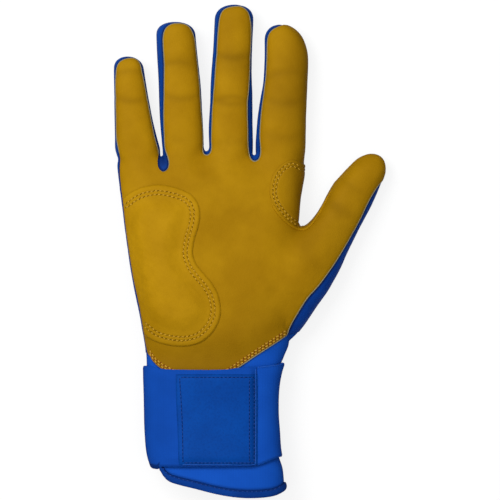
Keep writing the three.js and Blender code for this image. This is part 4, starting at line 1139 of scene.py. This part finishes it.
patchSeam = {"pitch": 2.45, "share": 0.62, "thread": 0.34, "lift": 0.15, "hole": 0.45, "slant": 0.06,
             "ends": (101.5, -38)}  # right of this and below it the patch turns into the crotch, unstitched
wristSeam = {"pitch": 2.4, "share": 0.74, "thread": 0.36, "lift": 0.18, "hole": 0.42, "slant": 0.12,
             "rows": (1.3, 2.9), "across": (14.5, 98)}
tabSeam = {"pitch": 2.2, "share": 0.7, "thread": 0.27, "lift": 0.1, "hole": 0.3, "slant": 0}
hemSeam = {"pitch": 2.6, "share": 0.62, "thread": 0.26, "lift": 0.08, "hole": 0.26, "slant": 0,
           "inHem": 0.9, "across": (26, 93)}
for name, plan, piece, insets in [
    ("heel_patch_stitching", plans["heel"], heelMade, heelPatch["rows"]),
    ("index_patch_stitching", plans["index"], indexMade, indexPatch["rows"]),
]:
    lines = [part for inset in insets for part in insetLines(plan, inset)]
    addStitches(name, piece, lines, patchSeam, [goldThread, goldHoles], "gold_leather")
lines = [within(lowerEdge, *wristSeam["across"]) + (0, inset) for inset in wristSeam["rows"]]
addStitches("wrist_edge_stitching", palmMade, lines, wristSeam, [hemThread, redHoles], "gold_leather")
tabRows = [
    [(36.1, -128), (37.4, -150), (38, -174.4)], [(37, -127.3), (77.6, -127.3)],
    [(38.8, -174.8), (77.6, -174.9)], [(74.9, -128.4), (74.9, -174)], [(77.5, -128), (77.5, -174.4)],
]
lines = [smoothLine(line) for line in tabRows]
addStitches("tab_stitching", tabMade, lines, tabSeam, [navyThread, navyHoles], "blue_leather", "strap_flap")
lines = [within(hemLine, *hemSeam["across"]) + (0, cuff["hem"] - hemSeam["inHem"])]
addStitches("hem_stitching", hemMade, lines, hemSeam, [navyThread, navyHoles], "blue_stretch")
print("stitches sewn")

# Pale pared edge of the palm leather, standing up a little where it meets the side walls
bead = {"radius": 0.34, "above": 0.08, "from": 6.4, "step": 0.7, "soften": 14,
        "beside": 25.0, "below": -4.0}  # none left of and below these, on the palm's outer side
parts = []
for rim in rimLines(palmSkin[1]):
    rim = palmSkin[0][rim]
    rim = np.roll(rim, -int(np.argmin(rim[:, 2])), axis=0)
    shown = (rim[:, 2] > bead["from"]) & ((rim[:, 0] > bead["beside"]) | (rim[:, 1] > bead["below"]))
    cuts = np.flatnonzero(np.diff(shown)) + 1
    for part, kept in zip(np.split(rim, cuts), np.split(shown, cuts)):
        if len(part) < 12 or not kept[0]:
            continue
        part = evenly(soften(part[:, :6], bead["soften"]), bead["step"])
        up = part[:, 3:] / np.linalg.norm(part[:, 3:], axis=1)[:, None]
        thick = bead["radius"] * tapered(np.linspace(0, 1, len(part)), 40, 0.3)
        parts.append(loft(sweep(part[:, :3] + up * bead["above"], up, thick, thick, 7)))
addPiece("leather_edge_bead", *joined(parts), [cutEdge], "gold_leather")

# Rolled seam from the index patch round the crotch and up the thumb's inner edge
piping = {"radius": 0.95, "line": [
    (86.3, -27), (88.2, -31.6), (91.9, -37.1), (96.3, -41.4), (100, -44), (103.2, -45.2), (106.2, -44.9),
    (109.4, -42.6), (112.7, -38.2), (115.9, -32.8), (118.6, -27.6), (121.2, -22.4),
]}
spots, up, share = laidAlong((palmMade, indexMade), piping["line"])
thick = piping["radius"] * tapered(share, 9, 0.25) * (1 - 0.35 * share)
centre = soften(spots + up * (thick * 0.25)[:, None], 4)
pipingMade = addPiece("crotch_piping_rolled", *loft(sweep(centre, up, thick, thick, 12)), [goldSheepskin],
                      "gold_leather")
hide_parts("crotch_piping")
print("piping rolled")

# Pale thread that binds the strap's cut edges
edgeThread = {"radius": 0.22, "end": 0.05}
for name, pieces, body, line in [
    ("strap_end_thread", (bandMade, tabMade), "strap_flap", [
        (37.5, -175.9), (60, -175.9), (77.4, -175.8), (78.2, -175), (78.4, -150), (78.4, -122.7),
    ]),
    ("strap_top_thread", (backMade,), "root", [(79.3, -121.9), (88, -120.9), (93.3, -119.8)]),
]:
    spots, up, share = laidAlong(pieces, line)
    thick = np.full(len(spots), edgeThread["radius"])
    thick[[0, -1]] = edgeThread["end"]
    addPiece(name, *loft(sweep(spots, up, thick, thick, 8)), [paleThread], "blue_stretch", body=body)
print("edges bound")

# Camera, floor and light
view = {"pixel": 0.56, "centre": (-1.23, 0.67), "distance": 3000.0, "plane": 12.0, "image": 500}
camera = bpy.data.objects.new("camera", bpy.data.cameras.new("camera"))
bpy.context.scene.collection.objects.link(camera)
camera.data.lens = 36 * view["distance"] / (view["image"] * view["pixel"])
camera.data.sensor_width = 36
camera.data.clip_end = 20
camera.location = Vector((*view["centre"], view["plane"] + view["distance"])) * mm
bpy.context.scene.camera = camera


def seenBy(tree):  # 1 where the camera or a reflection sees the background itself
    path = addNode(tree, "LightPath", {}, "Is Camera Ray").node
    seen = addNode(tree, "Math", {0: path.outputs["Is Camera Ray"], 1: path.outputs["Is Glossy Ray"]},
                   operation="MAXIMUM")
    return addNode(tree, "Math", {0: seen, 1: path.outputs["Is Transmission Ray"]}, operation="MAXIMUM")


# Painted board: matt, even; grey to the light and white to the eye, so that it keeps a faint shadow
studio = {"board": 0.22, "boardGlow": 0.82, "sky": 1.1, "reach": 6.0, "boardDrop": 0.6}
board, tree, _ = startFinish("matt_painted_board")
glow = addNode(tree, "Math", {0: seenBy(tree), 1: studio["boardGlow"]}, operation="MULTIPLY")
matt = addNode(tree, "BsdfDiffuse", {"Color": (*[studio["board"]] * 3, 1)})
light = addNode(tree, "Emission", {"Strength": glow})
addNode(tree, "OutputMaterial", {"Surface": addNode(tree, "AddShader", {0: matt, 1: light})})
corners = [(-1, -1), (1, -1), (1, 1), (-1, 1)]
floor = meshObject("floor", [(a * studio["reach"], b * studio["reach"], -studio["boardDrop"] * mm)
                             for a, b in corners], [(0, 1, 2, 3)])
floor.data.materials.append(board)

world = bpy.data.worlds.new("studio")
bpy.context.scene.world = world
world.use_nodes = True
tree = world.node_tree
tree.nodes.clear()
up = addNode(tree, "SeparateXYZ", {0: addNode(tree, "TexCoord", {}, "Generated")}, "Z")
dome = addNode(tree, "Math", {0: up, 1: up}, operation="MULTIPLY")  # bright above, dark round the sides
dome = addNode(tree, "Math", {0: dome, 1: studio["sky"]}, operation="MULTIPLY")
strength = addNode(tree, "Mix", {0: seenBy(tree), 2: dome, 3: 1.0})
sky = addNode(tree, "Background", {"Color": (1, 1, 1, 1), "Strength": strength})
addNode(tree, "OutputWorld", {"Surface": sky})


def addLamp(name, place, size, power):
    lamp = bpy.data.objects.new(name, bpy.data.lights.new(name, "AREA"))
    lamp.data.shape = "SQUARE"
    lamp.data.size = size
    lamp.data.energy = power
    lamp.location = place
    lamp.rotation_euler = (-Vector(place)).to_track_quat("-Z", "Y").to_euler()
    bpy.context.scene.collection.objects.link(lamp)


addLamp("key_softbox", (-0.6, 0.48, 1.02), 0.7, 8.8)
bpy.context.scene.view_settings.view_transform = "Standard"
print("camera and light set")
